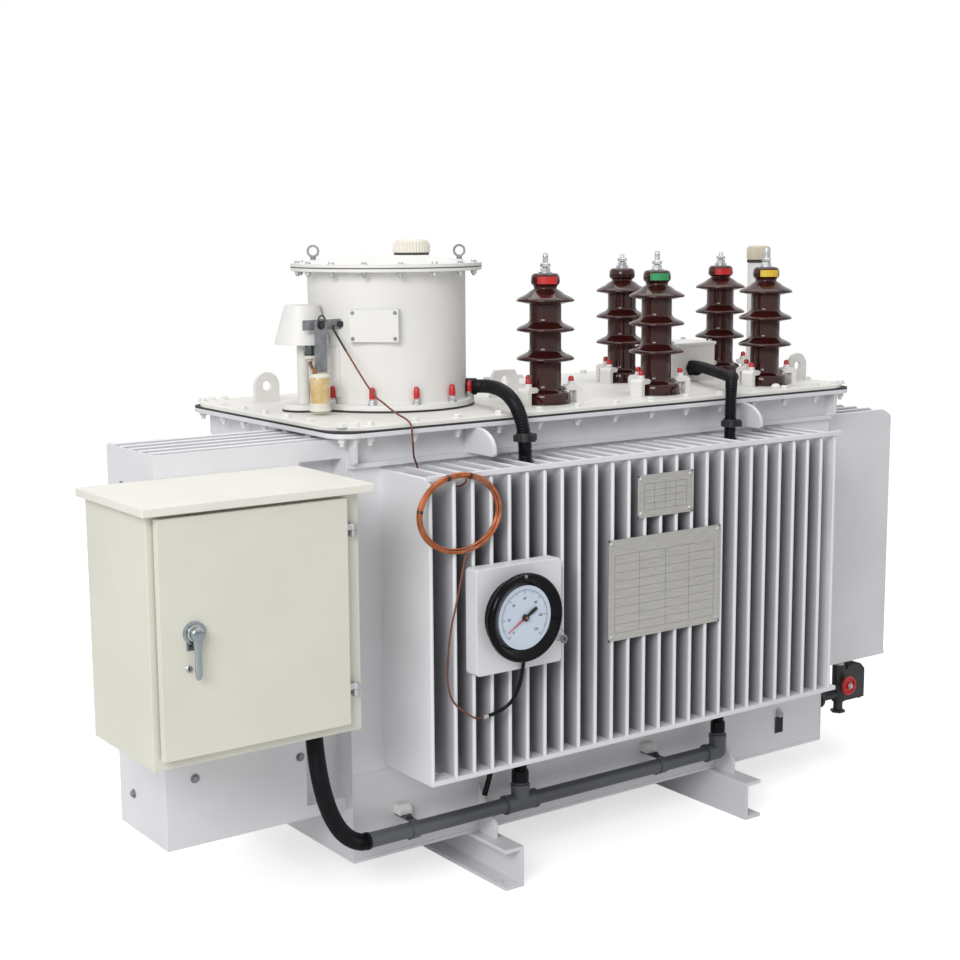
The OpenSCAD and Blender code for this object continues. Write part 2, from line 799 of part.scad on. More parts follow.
module front_bushing(k) { translate([front_x[k], front_y, top_z]) bushing(stud_h); }
module rear_bushing(k) { translate([rear_x[k], rear_y, top_z]) bushing(stud_h - 12); }

claw_w = 30;
claw_in = 39;
claw_out = 82;
claw_leg = 13;
claw_h = 39;
claw_bolt = 62;
claw_angles = [90, 195, 345];
rear_claw_angles = [90, 200, 318];
// One clamp claw: a leg on the cover, a nose over the bushing's foot and its stud
module claw() {
    low = foot_h + 2;
    translate([0, claw_w / 2, 0]) rotate([90, 0, 0]) linear_extrude(claw_w)
        polygon([[claw_out - claw_leg, 0], [claw_out, 0], [claw_out, claw_h - 6],
            [claw_out - 6, claw_h], [foot_r - 2, claw_h], [claw_in + 5, claw_h - 4],
            [claw_in + 5, foot_h + 6], [foot_r - 5, low], [claw_out - claw_leg, low]]);
    translate([claw_bolt, 0, 0]) cylinder(r = 4, h = claw_h + 16);
}

module clamps_at(x, y, angles) {
    translate([x, y, top_z]) for (a = angles) rotate([0, 0, a]) claw();
}

module bushing_clamps() {
    color("whitesmoke") {
        for (x = front_x) clamps_at(x, front_y, claw_angles);
        for (x = rear_x) clamps_at(x, rear_y, rear_claw_angles);
    }
}

// ---------- terminal box and filler ----------

box_x1 = tx1 - box_end;
box_y = -28.5;
module terminal_box() {
    color("lavender") {
        block([box_x1 - box_l, box_y, top_z], [box_x1, box_y + box_w, top_z + box_h]);
        block([box_x1 - box_l - 3, box_y - 3, top_z + box_h],
            [box_x1 + 3, box_y + box_w + 3, top_z + box_h + 8]);
    }
}

filler_at = [tx1 - 43, -80, top_z];
module filler_pipe() { color("lavender") translate(filler_at) cylinder(r = filler_r, h = filler_h); }
module filler_cap() {
    color("wheat") translate(filler_at + [0, 0, filler_h]) cylinder(r = filler_cap_r, h = 42);
}

// ---------- hoses and conduit ----------

function gap_x(k) = (fin_x(k) + fin_x(k + 1)) / 2;
tee_x = gap_x(6);
elbow_x = gap_x(19);
conduit_y = ty0 - conduit_out;
conduit_x0 = tx0 - 4;
drop_y = conduit_y;
tee_top = conduit_z + 52;
gland_z = top_z + 30;

// A hose's way from the point p below the rim down between two fins to the conduit
function way_down(p, x) = concat(curve(p, [x, top_y, rim_z - 200], [x, drop_y, rim_z - 240],
    [x, drop_y, rim_z - 420], 5), [[x, drop_y, tee_top]]);

// Hose from the turret's side over the rim, down between two fins to the tee
tap_from = [turret_x + turret_r * cos(-38), turret_r * sin(-38), gland_z + 8];
top_y = ty0 - rim_out - 34;
module tap_hose() {
    out = [0.79, -0.61, 0];
    color("dimgray") tube(concat([tap_from + 2 * out],
        curve(tap_from + 14 * out, tap_from + 40 * out,
            [tee_x + -25, top_y - 14, gland_z + 50], [tee_x - 2, top_y, rim_z - 28], 12),
        way_down([tee_x - 2, top_y, rim_z - 60], tee_x)), hose_r, 12);
}

box_from = [box_x1 - 78, box_y, gland_z + 3];
// Hose from the terminal box over the rim, down between two fins to the elbow
module box_hose() {
    color("dimgray") tube(concat([box_from, box_from - [0, 14, 0]],
        [box_from - [34, 70, -8]],
        curve([elbow_x + 66, top_y + 66, gland_z + 8], [elbow_x + 20, top_y + 14, gland_z + 12],
            [elbow_x + 5, top_y, gland_z + 8], [elbow_x + 4, top_y, gland_z - 52], 8),
        way_down([elbow_x + 3, top_y, rim_z - 60], elbow_x)), box_hose_r, 12);
}

cab_hose_from = [cab_x1 - 38, cab_y0 + 117, cab_up];
// Hose from the cabinet's underside to the conduit
module cabinet_hose() {
    end = [conduit_x0, conduit_y, conduit_z];
    color("dimgray") tube(concat([cab_hose_from], curve(cab_hose_from - [0, 0, 12],
        cab_hose_from - [-10, 0, 200], end + [-62, 0, 14], end - [10, 0, 0], 16), [end]),
        cab_hose_r, 12);
}

module conduit() {
    color("slategray") {
        translate([conduit_x0, conduit_y, conduit_z]) rotate([0, 90, 0])
            cylinder(r = conduit_r, h = elbow_x - conduit_x0);
        for (x = [tee_x, elbow_x])
            translate([x, conduit_y, conduit_z]) cylinder(r = conduit_r, h = tee_top - conduit_z);
        translate([tee_x - 42, conduit_y, conduit_z]) rotate([0, 90, 0]) cylinder(r = fitting_r, h = 84);
        for (x = [tee_x, elbow_x])
            translate([x, conduit_y, conduit_z]) cylinder(r = fitting_r, h = 40);
        translate([elbow_x - 40, conduit_y, conduit_z]) rotate([0, 90, 0])
            cylinder(r = fitting_r, h = 40);
        translate([elbow_x, conduit_y, conduit_z]) sphere(fitting_r);
    }
}

saddle_t = 3;
saddle_w = 18;
saddle_x = [gap_x(0), gap_x(15)];
// Saddles that hold the conduit to the tank's front wall
module conduit_straps() {
    r = conduit_r;
    color("gray") for (x = saddle_x) {
        for (z = [conduit_z - r - saddle_t, conduit_z + r])
            block([x - saddle_w / 2, conduit_y, z], [x + saddle_w / 2, ty0, z + saddle_t]);
        translate([x - saddle_w / 2, conduit_y, conduit_z]) rotate([0, 90, 0]) difference() {
            cylinder(r = r + saddle_t, h = saddle_w);
            translate([0, 0, -eps]) cylinder(r = r, h = saddle_w + 2 * eps);
            translate([-2 * r, 0, -eps]) cube([4 * r, 2 * r, saddle_w + 2 * eps]);
        }
    }
}

// ---------- gauge, capillary and plates ----------

gauge_x0 = tx0 + 160;
gauge_z0 = fin_top - gauge_down;
gauge_y = tip_y - seat;
gauge_t = 38;
gauge_cx = gauge_x0 + gauge_plate_w / 2 - 11;
gauge_cz = gauge_z0 + gauge_plate_h / 2 + 6;

module gauge_plate() {
    color("white") translate([0, gauge_y, 0]) rotate([90, 0, 0])
        rounded_plate(gauge_x0, gauge_z0, gauge_x0 + gauge_plate_w, gauge_z0 + gauge_plate_h,
            8, 0, gauge_t);
}

module gauge_case() {
    color("black") translate([gauge_cx, gauge_y - gauge_t, gauge_cz]) rotate([90, 0, 0])
        rotate_extrude($fn = 72) polygon([[0, 0], [gauge_r - 14, 0], [gauge_r - 12, 20],
            [gauge_r - 1, 24], [gauge_r, gauge_depth - 6], [gauge_r - 5, gauge_depth],
            [gauge_r - 17, gauge_depth - 2], [gauge_r - 18, gauge_depth - 12], [0, gauge_depth - 12]]);
}

lead_from = [gauge_cx + 14, gauge_y - gauge_t - 10, gauge_cz - gauge_r + 12.6];
lead_end = [gauge_cx - 53, tip_y - 6, gauge_z0 - 95];
// Sheathed lead from the gauge's underside to the capillary
module gauge_lead() {
    color("black") tube(concat([lead_from], curve(lead_from - [0, 0, 6], lead_from - [0, -10, 90],
        lead_end + [70, 0, 6], lead_end + [8, 0, 0], 12), [lead_end]), 4, 8);
}

coil_x = gauge_x0 - 16.5;
coil_z = fin_top - 73;
coil_y = tip_y - seat - coil_t / 2;
coil_n = 48;
coil_side_n = 12;
// Height of the coil's tube above its middle at the distance dx, for a coil wider by grow
function coil_rise(dx, grow) = (coil_rz + grow) * sqrt(1 - pow(dx / (coil_rx + grow), 2));
// Coiled capillary: an oval ring that hangs on the fins' upper tie strip
module capillary_coil() {
    n = coil_side_n;
    color("sienna") translate([coil_x, coil_y, coil_z]) polyhedron(
        [for (k = [0:coil_n - 1])
            let (t = 360 * k / coil_n, out = unit([coil_rz * cos(t), 0, coil_rx * sin(t)]))
                for (j = [0:n - 1]) [coil_rx * cos(t), 0, coil_rz * sin(t)]
                    + coil_t / 2 * (cos(360 * j / n) * out + [0, sin(360 * j / n), 0])],
        [for (k = [0:coil_n - 1]) for (j = [0:n - 1]) let (next = (k + 1) % coil_n)
            [k * n + j, k * n + (j + 1) % n, next * n + (j + 1) % n, next * n + j]], convexity = 6);
}

wire_r = 2;
edge_y = ty0 - rim_out;
hook = [arm_x0 + 71, arm_y - arm_w / 2 - wire_r - seat, arm_z - 4];
wire_x = gap_x(1);
coil_top = coil_z + coil_rise(wire_x - coil_x, -coil_t / 2) - wire_r;
foot_in = 16;
coil_foot = [coil_x + foot_in, coil_y, coil_z - coil_rise(foot_in, coil_t / 2) - 1];
// Capillary from the breather's bracket over the rim to the coil, and on to the gauge's lead
module capillary() {
    color("sienna") {
        tube([hook, hook - [0, 5, 12], hook + [6, -130, -123], hook + [5, -186, -148],
            [wire_x - 46, edge_y + 34, top_z + 16], [wire_x - 43, edge_y + 10, top_z + 9],
            [wire_x - 41, edge_y - 6, top_z], [wire_x - 40, edge_y - 10, rim_z + 8],
            [wire_x - 38, edge_y - 10, rim_z - 20], [wire_x - 28, edge_y + 2, fin_top + 24],
            [wire_x - 14, edge_y + 14, fin_top + 6], [wire_x - 8, edge_y + 14, fin_top - 10],
            [wire_x, edge_y, fin_top - 22], [wire_x, edge_y - 60, fin_top - 26],
            [wire_x, tip_y + 20, fin_top - 24], [wire_x, coil_y + 3, fin_top - 14],
            [wire_x, coil_y, coil_top]], wire_r, 8);
        tube([coil_foot, coil_foot - [6, 0, 15], coil_foot - [22, 0, 85], coil_foot - [40, 0, 155],
            coil_foot - [48, 0, 230], coil_foot - [44, 0, 275], coil_foot - [28, 0, 305],
            [lead_end[0] - 28, coil_y, lead_end[2] + 3], [lead_end[0] - 8, lead_end[1], lead_end[2]],
            lead_end - [seat, 0, 0]], wire_r, 8);
    }
}

rating_x = fin_x(9) + 30;
rating_z = fin_z + 0.366 * fin_h;
side_plate_x = rating_x + 80;
side_plate_z = rating_z + rating_h + 39;
module plates() {
    y = tip_y - seat;
    color("silver") {
        block([rating_x, y - plate_t, rating_z], [rating_x + rating_w, y, rating_z + rating_h]);
        block([side_plate_x, y - plate_t, side_plate_z],
            [side_plate_x + side_plate_w, y, side_plate_z + side_plate_h]);
    }
}

// ---------- drain valve and earth terminal ----------

valve_x = tx1 + valve_out;
valve_y = ty0 + 38;
valve_z = tz0 + valve_up;
wheel_x = valve_x - 5;
wheel_y = valve_y - 40;
wheel_z = valve_z + 29;
wheel_t = 10;
bonnet_l = 78;
bonnet_h = 92;
module drain_valve() {
    color("darkslategray") difference() {
        union() {
            translate([tx1, valve_y, valve_z]) rotate([0, 90, 0]) cylinder(r = 12, h = valve_out);
            translate([valve_x, valve_y, valve_z - 20]) cylinder(r = 17, h = 97);
            translate([valve_x, valve_y, valve_z - 50]) cylinder(r = 12, h = 60);
            translate([valve_x, valve_y + 18, valve_z - 18]) rotate([90, 0, 0]) linear_extrude(36)
                polygon([[0, 0], [bonnet_l, 0], [bonnet_l, bonnet_h - 16], [bonnet_l - 16, bonnet_h],
                    [20, bonnet_h], [14, bonnet_h - 8], [0, bonnet_h - 8]]);
            translate([wheel_x, wheel_y + 12, wheel_z]) rotate([-90, 0, 0]) cylinder(r = 9, h = 20);
        }
        translate([wheel_x, wheel_y, wheel_z]) rotate([-90, 0, 0])
            cylinder(r = spindle_r + run, h = 52);
    }
}

module valve_wheel() {
    color("red") translate([wheel_x, wheel_y, wheel_z]) {
        rotate([90, 0, 0]) difference() {
            cylinder(r = wheel_r, h = wheel_t, center = true);
            translate([0, 0, wheel_t / 2 - 3]) difference() {
                cylinder(r = wheel_r - 6, h = 4);
                translate([0, 0, -eps]) cylinder(r = 9, h = 6);
            }
        }
        rotate([-90, 0, 0]) cylinder(r = spindle_r, h = 48);
    }
}

earth_x = tx1 - earth_in;
earth_z = tz0 + 100;
module earth_terminal() {
    color("silver") {
        translate([earth_x, ty0 - 6, earth_z]) rotate([-90, 0, 0]) cylinder(r = 9, h = 6);
        translate([earth_x, ty0 - 20, earth_z]) rotate([-90, 0, 0]) cylinder(r = 5, h = 16);
        block([earth_x - 14, ty0 - 2, earth_z - 52], [earth_x + 14, ty0, earth_z - 10]);
    }
}

// ---------- cabinet ----------

open_x0 = door_x0 + door_lap;
open_x1 = door_x1 - door_lap;
open_z0 = door_z0 + door_lap;
open_z1 = door_z1 - door_lap;
module cabinet_body() {
    color("beige") difference() {
        block([cab_x0, cab_y0, cab_up], [cab_x1, cab_y1, cab_top]);
        block([cab_x0 + cab_t, cab_y0 + cab_t, cab_up + cab_t],
            [cab_x1 - cab_t, cab_y1 - cab_t, cab_top - cab_t]);
        block([open_x0, cab_y0 - eps, open_z0], [open_x1, cab_y0 + cab_t + eps, open_z1]);
    }
}

module cabinet_roof() {
    color("ivory") block([cab_x0 - roof_side, cab_y0 - roof_over, cab_top],
        [cab_x1 + roof_side, cab_y1, cab_top + roof_t]);
}

hinge_h = 12;
hinge_z = [door_z0 + hinge_end, door_z1 - hinge_end];
// Lower hinge knuckles with their pins, on the cabinet's front
module cabinet_hinges() {
    color("silver") for (z = hinge_z) {
        translate([hinge_x, hinge_y, z - hinge_h]) cylinder(r = hinge_r, h = hinge_h);
        translate([hinge_x, hinge_y, z - hinge_h]) cylinder(r = pin_r, h = 2 * hinge_h - 2);
        block([hinge_x - hinge_r, hinge_y, z - hinge_h], [hinge_x + hinge_r, cab_y0, z]);
    }
}

// Upper hinge knuckles, on the door's edge
module door_hinges() {
    color("silver") for (z = hinge_z) difference() {
        union() {
            translate([hinge_x, hinge_y, z + seat]) cylinder(r = hinge_r, h = hinge_h);
            block([door_x1, hinge_y - 3, z + seat], [hinge_x, hinge_y + 3, z + seat + hinge_h]);
        }
        translate([hinge_x, hinge_y, z - eps]) cylinder(r = pin_r + run, h = hinge_h + 2 * eps);
    }
}

rose_t = 7;
hub_r = 13;
hub_h = 14;
// Door leaf: a sheet with a folded rim, and the handle's rose
module cabinet_door() {
    color("beige") difference() {
        union() {
            difference() {
                block([door_x0, door_y0, door_z0], [door_x1, door_y1, door_z1]);
                block([door_x0 + cab_t, door_y0 + cab_t, door_z0 + cab_t],
                    [door_x1 - cab_t, door_y1 + eps, door_z1 - cab_t]);
            }
            translate([handle_x, door_y0 - rose_t, handle_z]) rotate([-90, 0, 0])
                cylinder(r = rose_r, h = rose_t + cab_t);
        }
        translate([handle_x, door_y0 - rose_t - eps, handle_z]) rotate([-90, 0, 0])
            cylinder(r = hub_r / 2 + run, h = rose_t + cab_t + 2 * eps);
    }
}

lever_w = 15;
lever_t = 9;
// Handle: a hub on a spindle, with a lever that hangs down
module door_handle() {
    face = door_y0 - rose_t - seat;
    color("silver") {
        translate([handle_x, face - hub_h, handle_z]) rotate([-90, 0, 0]) cylinder(r = hub_r, h = hub_h);
        translate([handle_x, face, handle_z]) rotate([-90, 0, 0])
            cylinder(r = hub_r / 2, h = rose_t + seat + cab_t + 4);
        translate([handle_x, face - hub_h + lever_t, handle_z]) rotate([90, 0, 0])
            linear_extrude(lever_t) {
                translate([-lever_w / 2, -lever_l + lever_w / 2])
                    square([lever_w, lever_l - lever_w / 2]);
                translate([0, -lever_l + lever_w / 2]) circle(d = lever_w);
            }
    }
}

left_skid();
right_skid();
skid_gussets();
tank_floor();
tank_walls();
rim_flange();
rim_gussets();
cover_gasket();
tank_cover();
front_fins();
rear_fins();
right_fins();
left_fins();
fin_shroud();
lifting_lugs();
turret_gasket();
turret_base();
turret_shell();
turret_lid();
lid_eyes();
lid_cap();
turret_plate();
breather_hood();
breather_pipe();
breather_bracket();
sight_cup();
breather_tube();
breather_jar();
front_bushing(0);  // front_bushing_1
front_bushing(1);  // front_bushing_2
front_bushing(2);  // front_bushing_3
rear_bushing(0);  // rear_bushing_1
rear_bushing(1);  // rear_bushing_2
bushing_clamps();
terminal_box();
filler_pipe();
filler_cap();
tap_hose();
box_hose();
cabinet_hose();
conduit();
conduit_straps();
gauge_plate();
gauge_case();
gauge_lead();
capillary();
capillary_coil();
plates();
drain_valve();
valve_wheel();
earth_terminal();
cabinet_body();
cabinet_roof();
cabinet_hinges();
cabinet_door();
door_hinges();
door_handle();
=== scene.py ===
"""Looks of an oil-filled step voltage regulator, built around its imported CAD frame.

A piece is made in millimetres of the row frame, and scaled to metres at its end. The camera,
the lamps and the materials are in metres.
"""

import json
from math import atan2, cos, radians, sin, sqrt, tau

import bmesh
import bpy
from mathutils import Matrix, Vector

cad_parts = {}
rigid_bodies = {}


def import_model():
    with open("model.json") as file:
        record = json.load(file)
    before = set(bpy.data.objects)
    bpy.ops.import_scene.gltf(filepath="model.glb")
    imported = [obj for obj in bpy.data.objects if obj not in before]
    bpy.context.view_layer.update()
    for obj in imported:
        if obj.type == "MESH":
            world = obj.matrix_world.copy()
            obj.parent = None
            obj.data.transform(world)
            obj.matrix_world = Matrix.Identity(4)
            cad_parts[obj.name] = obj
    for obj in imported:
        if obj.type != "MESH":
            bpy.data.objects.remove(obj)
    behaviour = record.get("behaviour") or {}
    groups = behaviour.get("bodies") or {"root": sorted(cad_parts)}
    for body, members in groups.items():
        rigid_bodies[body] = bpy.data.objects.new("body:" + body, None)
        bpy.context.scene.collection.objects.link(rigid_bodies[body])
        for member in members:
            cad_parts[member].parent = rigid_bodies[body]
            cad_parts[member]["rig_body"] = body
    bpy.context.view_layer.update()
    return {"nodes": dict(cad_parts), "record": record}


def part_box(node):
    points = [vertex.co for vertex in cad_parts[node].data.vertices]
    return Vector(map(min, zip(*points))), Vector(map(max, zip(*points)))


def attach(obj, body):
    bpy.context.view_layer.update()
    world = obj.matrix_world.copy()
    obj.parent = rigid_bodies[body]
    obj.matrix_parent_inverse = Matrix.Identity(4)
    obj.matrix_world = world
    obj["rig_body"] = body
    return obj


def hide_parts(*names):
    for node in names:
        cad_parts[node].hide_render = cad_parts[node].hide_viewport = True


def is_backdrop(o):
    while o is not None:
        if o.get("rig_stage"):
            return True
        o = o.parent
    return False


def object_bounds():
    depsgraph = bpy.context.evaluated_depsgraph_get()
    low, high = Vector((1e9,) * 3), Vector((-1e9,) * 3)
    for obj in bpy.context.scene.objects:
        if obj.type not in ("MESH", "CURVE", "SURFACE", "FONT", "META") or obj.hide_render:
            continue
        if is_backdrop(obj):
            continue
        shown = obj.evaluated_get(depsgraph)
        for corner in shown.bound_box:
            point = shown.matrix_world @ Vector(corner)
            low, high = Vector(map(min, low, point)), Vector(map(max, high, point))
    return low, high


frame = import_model()
MM = 0.001
ROOT, DOOR, HANDLE, WHEEL = "regulator", "door", "handle", "wheel"
FRONT, BACK, LEFT, RIGHT, DOWN = (0, -1, 0), (0, 1, 0), (-1, 0, 0), (1, 0, 0), (0, 0, -1)
SLOT_OF = {s["node"]: s["material_slot"] for s in frame["record"]["subparts"]}


def add_object(name, data):
    o = bpy.data.objects.new(name, data)
    bpy.context.scene.collection.objects.link(o)
    return o


# ---- camera

CAMERA_PLACE = Vector((-2.3255, -3.0605, 1.395))
CAMERA_YAW = 0.620      # radians from +Y towards +X
CAMERA_PITCH = 0.155    # radians down
CAMERA_ROLL = -0.006
CAMERA_LENS = 61.34     # mm on a 36 mm sensor


def add_camera():
    forward = Vector((sin(CAMERA_YAW) * cos(CAMERA_PITCH), cos(CAMERA_YAW) * cos(CAMERA_PITCH),
                      -sin(CAMERA_PITCH)))
    level_right = Vector((cos(CAMERA_YAW), -sin(CAMERA_YAW), 0))
    level_up = level_right.cross(forward)
    right = level_right * cos(CAMERA_ROLL) + level_up * sin(CAMERA_ROLL)
    up = right.cross(forward)
    camera = add_object("camera", bpy.data.cameras.new("camera"))
    turn = Matrix((right, up, -forward)).transposed()
    camera.matrix_world = Matrix.Translation(CAMERA_PLACE) @ turn.to_4x4()
    camera.data.lens = CAMERA_LENS
    camera.data.clip_end = 60
    bpy.context.scene.camera = camera


add_camera()

# ---- materials

BUMP_GRAIN = 260.0      # noise scale of the fine relief
BUMP_DEPTH = 0.0006
WHITE = (1, 1, 1, 1)


def feed(tree, node, inputs):
    """Gives each input a number, a colour or the socket that it reads."""
    for key, value in inputs.items():
        if isinstance(value, bpy.types.NodeSocket):
            tree.links.new(value, node.inputs[key])
        else:
            node.inputs[key].default_value = value


def shader_node(tree, kind, inputs=None, **settings):
    node = tree.nodes.new("ShaderNode" + kind)
    for key, value in settings.items():
        setattr(node, key, value)
    feed(tree, node, inputs or {})
    return node


def colour_ramp(tree, value, stops):
    """The colour at value, between two or more (position, colour) stops."""
    node = shader_node(tree, "ValToRGB", {"Fac": value})
    elements = node.color_ramp.elements
    for element, (spot, colour) in zip(elements, (stops[0], stops[-1])):
        element.position = spot
        element.color = (*colour, 1)
    for spot, colour in stops[1:-1]:
        elements.new(spot).color = (*colour, 1)
    return node.outputs["Color"]


def share_of(tree, value, low, high):
    """Rises from 0 to 1 while value goes from low to high."""
    span = {"Value": value, "From Min": low, "From Max": high}
    return shader_node(tree, "MapRange", span).outputs[0]


def blended(tree, way, a, b, share=1.0):
    """The colour a with b blended over it."""
    return shader_node(tree, "Mix", {"Factor": share, "A": a, "B": b},
                       data_type="RGBA", blend_type=way).outputs["Result"]


def grime(tree, place, axis, wall, edge, top):
    """Painted shade on a fin, darkest at the tank's wall and fading out at its outer edge, and painted
    light that lifts its top to full white.
    """
    apart = shader_node(tree, "SeparateXYZ", {0: place})
    across = shader_node(tree, "Math", {0: apart.outputs[axis]}, operation="ABSOLUTE")
    outward = share_of(tree, across.outputs[0], wall, edge)
    # painted light: the top 70 mm of each fin is lifted towards white
    painted_top_light = share_of(tree, apart.outputs["Z"], top - 0.07, top + 0.004)
    # painted shade: darkest at the tank's wall, none at the fin's outer edge
    shade = colour_ramp(tree, outward, (
        (0.0, (0.16, 0.165, 0.175)), (0.45, (0.22, 0.22, 0.2266)), (0.8, (0.35, 0.35, 0.3605)),
        (0.955, (0.58, 0.58, 0.5974)), (0.985, (1, 1, 1))))
    return blended(tree, "LIGHTEN", shade, painted_top_light)


def surface(name, colour, second=None, rough=0.45, spread=0.08, metal=0.0, coat=0.0,
            gleam=0.5, grain=20, stretch=(1, 1, 1), bump=0.0, stain=None, painted_shade=None):
    """A finish whose colour and gloss vary over the piece, with optional fine relief.

    stain is (colour, grain, threshold): patches of another colour. The last argument is what the fins'
    painted shade takes after place, for a bank's fins: painted shade between them and painted light on
    their tops.
    """
    material = bpy.data.materials.new(name)
    material.use_nodes = True
    tree = material.node_tree
    place = shader_node(tree, "TexCoord").outputs["Object"]
    scaled = shader_node(tree, "Mapping", {"Vector": place, "Scale": stretch}).outputs[0]

    def noise(size, detail):
        values = {"Vector": scaled, "Scale": size, "Detail": detail}
        return shader_node(tree, "TexNoise", values).outputs["Fac"]

    broad = noise(grain, 5)
    second = second or tuple(c * 0.93 for c in colour)
    tint = colour_ramp(tree, broad, ((0.36, second), (0.68, colour)))
    if stain:
        patch, size, level = stain
        spots = share_of(tree, noise(size, 3), level, level + 0.06)
        tint = blended(tree, "MIX", tint, (*patch, 1), spots)
    # painted shade and painted top light, multiplied into the fins' colour
    if painted_shade:
        tint = blended(tree, "MULTIPLY", tint, grime(tree, place, *painted_shade))
    gloss = shader_node(tree, "MapRange", {
        "Value": broad, "To Min": max(0.03, rough - spread), "To Max": rough + spread})
    shader = tree.nodes["Principled BSDF"]
    feed(tree, shader, {
        "Base Color": tint, "Metallic": metal, "Roughness": gloss.outputs[0],
        "Specular IOR Level": gleam, "Coat Weight": coat, "Coat Roughness": 0.06})
    if bump:
        relief = shader_node(tree, "Bump", {
            "Strength": bump, "Distance": BUMP_DEPTH, "Height": noise(BUMP_GRAIN, 2)})
        feed(tree, shader, {"Normal": relief.outputs[0]})
    return material


ENAMEL = surface(
    "enamel", (0.76, 0.765, 0.79), (0.71, 0.715, 0.745), 0.4, 0.1, grain=5, bump=0.12)
COVER = surface(
    "cover_enamel", (0.8, 0.79, 0.76), (0.74, 0.725, 0.685), 0.48, 0.1, grain=9,
    bump=0.15, stain=((0.5, 0.46, 0.4), 42, 0.68))
WARM = surface(
    "warm_enamel", (0.8, 0.79, 0.765), (0.76, 0.75, 0.725), 0.45, grain=8, bump=0.1)
CREAM = surface(
    "cabinet_enamel", (0.7, 0.69, 0.6), (0.665, 0.655, 0.57), 0.42, grain=6, bump=0.15)
ROOF = surface(
    "cabinet_roof_enamel", (0.78, 0.765, 0.7), (0.74, 0.725, 0.66), 0.42, grain=6,
    bump=0.1)
RUBBER = surface(
    "rubber", (0.03, 0.032, 0.034), (0.018, 0.018, 0.02), 0.65, 0.1, grain=30, bump=0.2)
PORCELAIN = surface(
    "porcelain", (0.045, 0.008, 0.007), (0.03, 0.006, 0.005), 0.1, 0.03, coat=0.35,
    gleam=0.2, grain=12)
GALVANISED = surface(
    "galvanised", (0.3, 0.31, 0.32), (0.2, 0.21, 0.22), 0.45, 0.1, metal=0.5, grain=50)
ZINC = surface(
    "zinc", (0.62, 0.63, 0.65), (0.5, 0.51, 0.53), 0.34, 0.12, metal=1.0, grain=40)
CHROME = surface("chrome", (0.4, 0.44, 0.46), (0.34, 0.38, 0.4), 0.12, 0.04, metal=1.0)
DARK_STEEL = surface(
    "dark_steel", (0.3, 0.31, 0.33), (0.2, 0.205, 0.215), 0.42, 0.1, metal=0.4, grain=60)
GREY_LINE = surface("grey_gasket", (0.07, 0.07, 0.075), None, 0.5, 0.05, grain=40)
BRUSHED = surface(
    "brushed_plate", (0.6, 0.585, 0.55), (0.5, 0.49, 0.46), 0.36, 0.06, metal=0.75,
    grain=30, stretch=(1, 1, 14))
ETCHED = surface("etched_line", (0.2, 0.195, 0.185), None, 0.5, 0.05, metal=0.4, grain=60)
IVORY = surface("ivory", (0.76, 0.735, 0.65), (0.7, 0.67, 0.58), 0.5, 0.06)
BEIGE = surface("beige", (0.6, 0.545, 0.43), (0.54, 0.49, 0.38), 0.5, 0.06)
BRASS = surface(
    "brass", (0.36, 0.17, 0.07), (0.22, 0.09, 0.05), 0.35, metal=0.8, grain=60)
AMBER = surface(
    "amber", (0.56, 0.38, 0.13), (0.66, 0.51, 0.26), 0.12, 0.04, coat=0.6, grain=70)
GREENISH = surface(
    "sight_glass", (0.035, 0.055, 0.045), (0.02, 0.03, 0.028), 0.1, 0.03, coat=1.0,
    grain=40)
HOSE = surface(
    "hose", (0.007, 0.007, 0.01), (0.004, 0.004, 0.006), 0.34, 0.06, gleam=0.14, grain=40)
PVC = surface(
    "pvc", (0.105, 0.112, 0.128), (0.07, 0.075, 0.086), 0.38, gleam=0.4, grain=16,
    stretch=(0.3, 1, 1))
CASE = surface(
    "gauge_black", (0.003, 0.003, 0.004), (0.002, 0.002, 0.003), 0.1, 0.03, gleam=0.14)
DIAL = surface("dial_white", (0.6, 0.67, 0.78), (0.57, 0.64, 0.75), 0.4, 0.05)
INK = surface("ink", (0.02, 0.02, 0.022), None, 0.6, 0.05, gleam=0.3)
COPPER = surface(
    "copper", (0.56, 0.2, 0.085), (0.36, 0.11, 0.05), 0.36, metal=0.8, grain=50)
RUST = surface(
    "aged_copper", (0.24, 0.085, 0.05), (0.17, 0.055, 0.035), 0.4, metal=0.6, grain=60)
IRON = surface(
    "black_iron", (0.03, 0.031, 0.033), (0.018, 0.018, 0.02), 0.45, grain=50, bump=0.4)
RED = surface(
    "red_enamel", (0.58, 0.014, 0.016), (0.46, 0.01, 0.012), 0.35, 0.06, coat=0.1, grain=30)
GREEN = surface("green_mark", (0.03, 0.3, 0.1), None, 0.45, 0.05, grain=30)
YELLOW = surface("yellow_mark", (0.75, 0.52, 0.04), None, 0.45, 0.05, grain=30)

# ---- making pieces


def at(origin, axis=(0, 0, 1), spin=0.0):
    """Places a shape whose own Z points along axis, turned about it by spin degrees."""
    turn = Vector(axis).to_track_quat("Z", "Y").to_matrix().to_4x4()
    return Matrix.Translation(origin) @ turn @ Matrix.Rotation(radians(spin), 4, "Z")


def turned(origin, degrees):
    """Places a shape that is turned about Z."""
    return Matrix.Translation(origin) @ Matrix.Rotation(radians(degrees), 4, "Z")


def facing(origin):
    """Places a flat drawing so that its x runs along +X, its y up and its own Z to -Y."""
    return Matrix.Translation(origin) @ Matrix.Rotation(radians(90), 4, "X")


def around(middle, radius, angle, z=0.0):
    a = radians(angle)
    return Vector((middle[0] + radius * cos(a), middle[1] + radius * sin(a), z))


def up(z):
    return Vector((0, 0, z))


def box_of(node):
    low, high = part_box(node)
    return Vector(low) / MM, Vector(high) / MM


def span_of(node):
    low, high = box_of(node)
    return low, high, (low + high) / 2


def circle(steps):
    return [tau * k / steps for k in range(steps)]


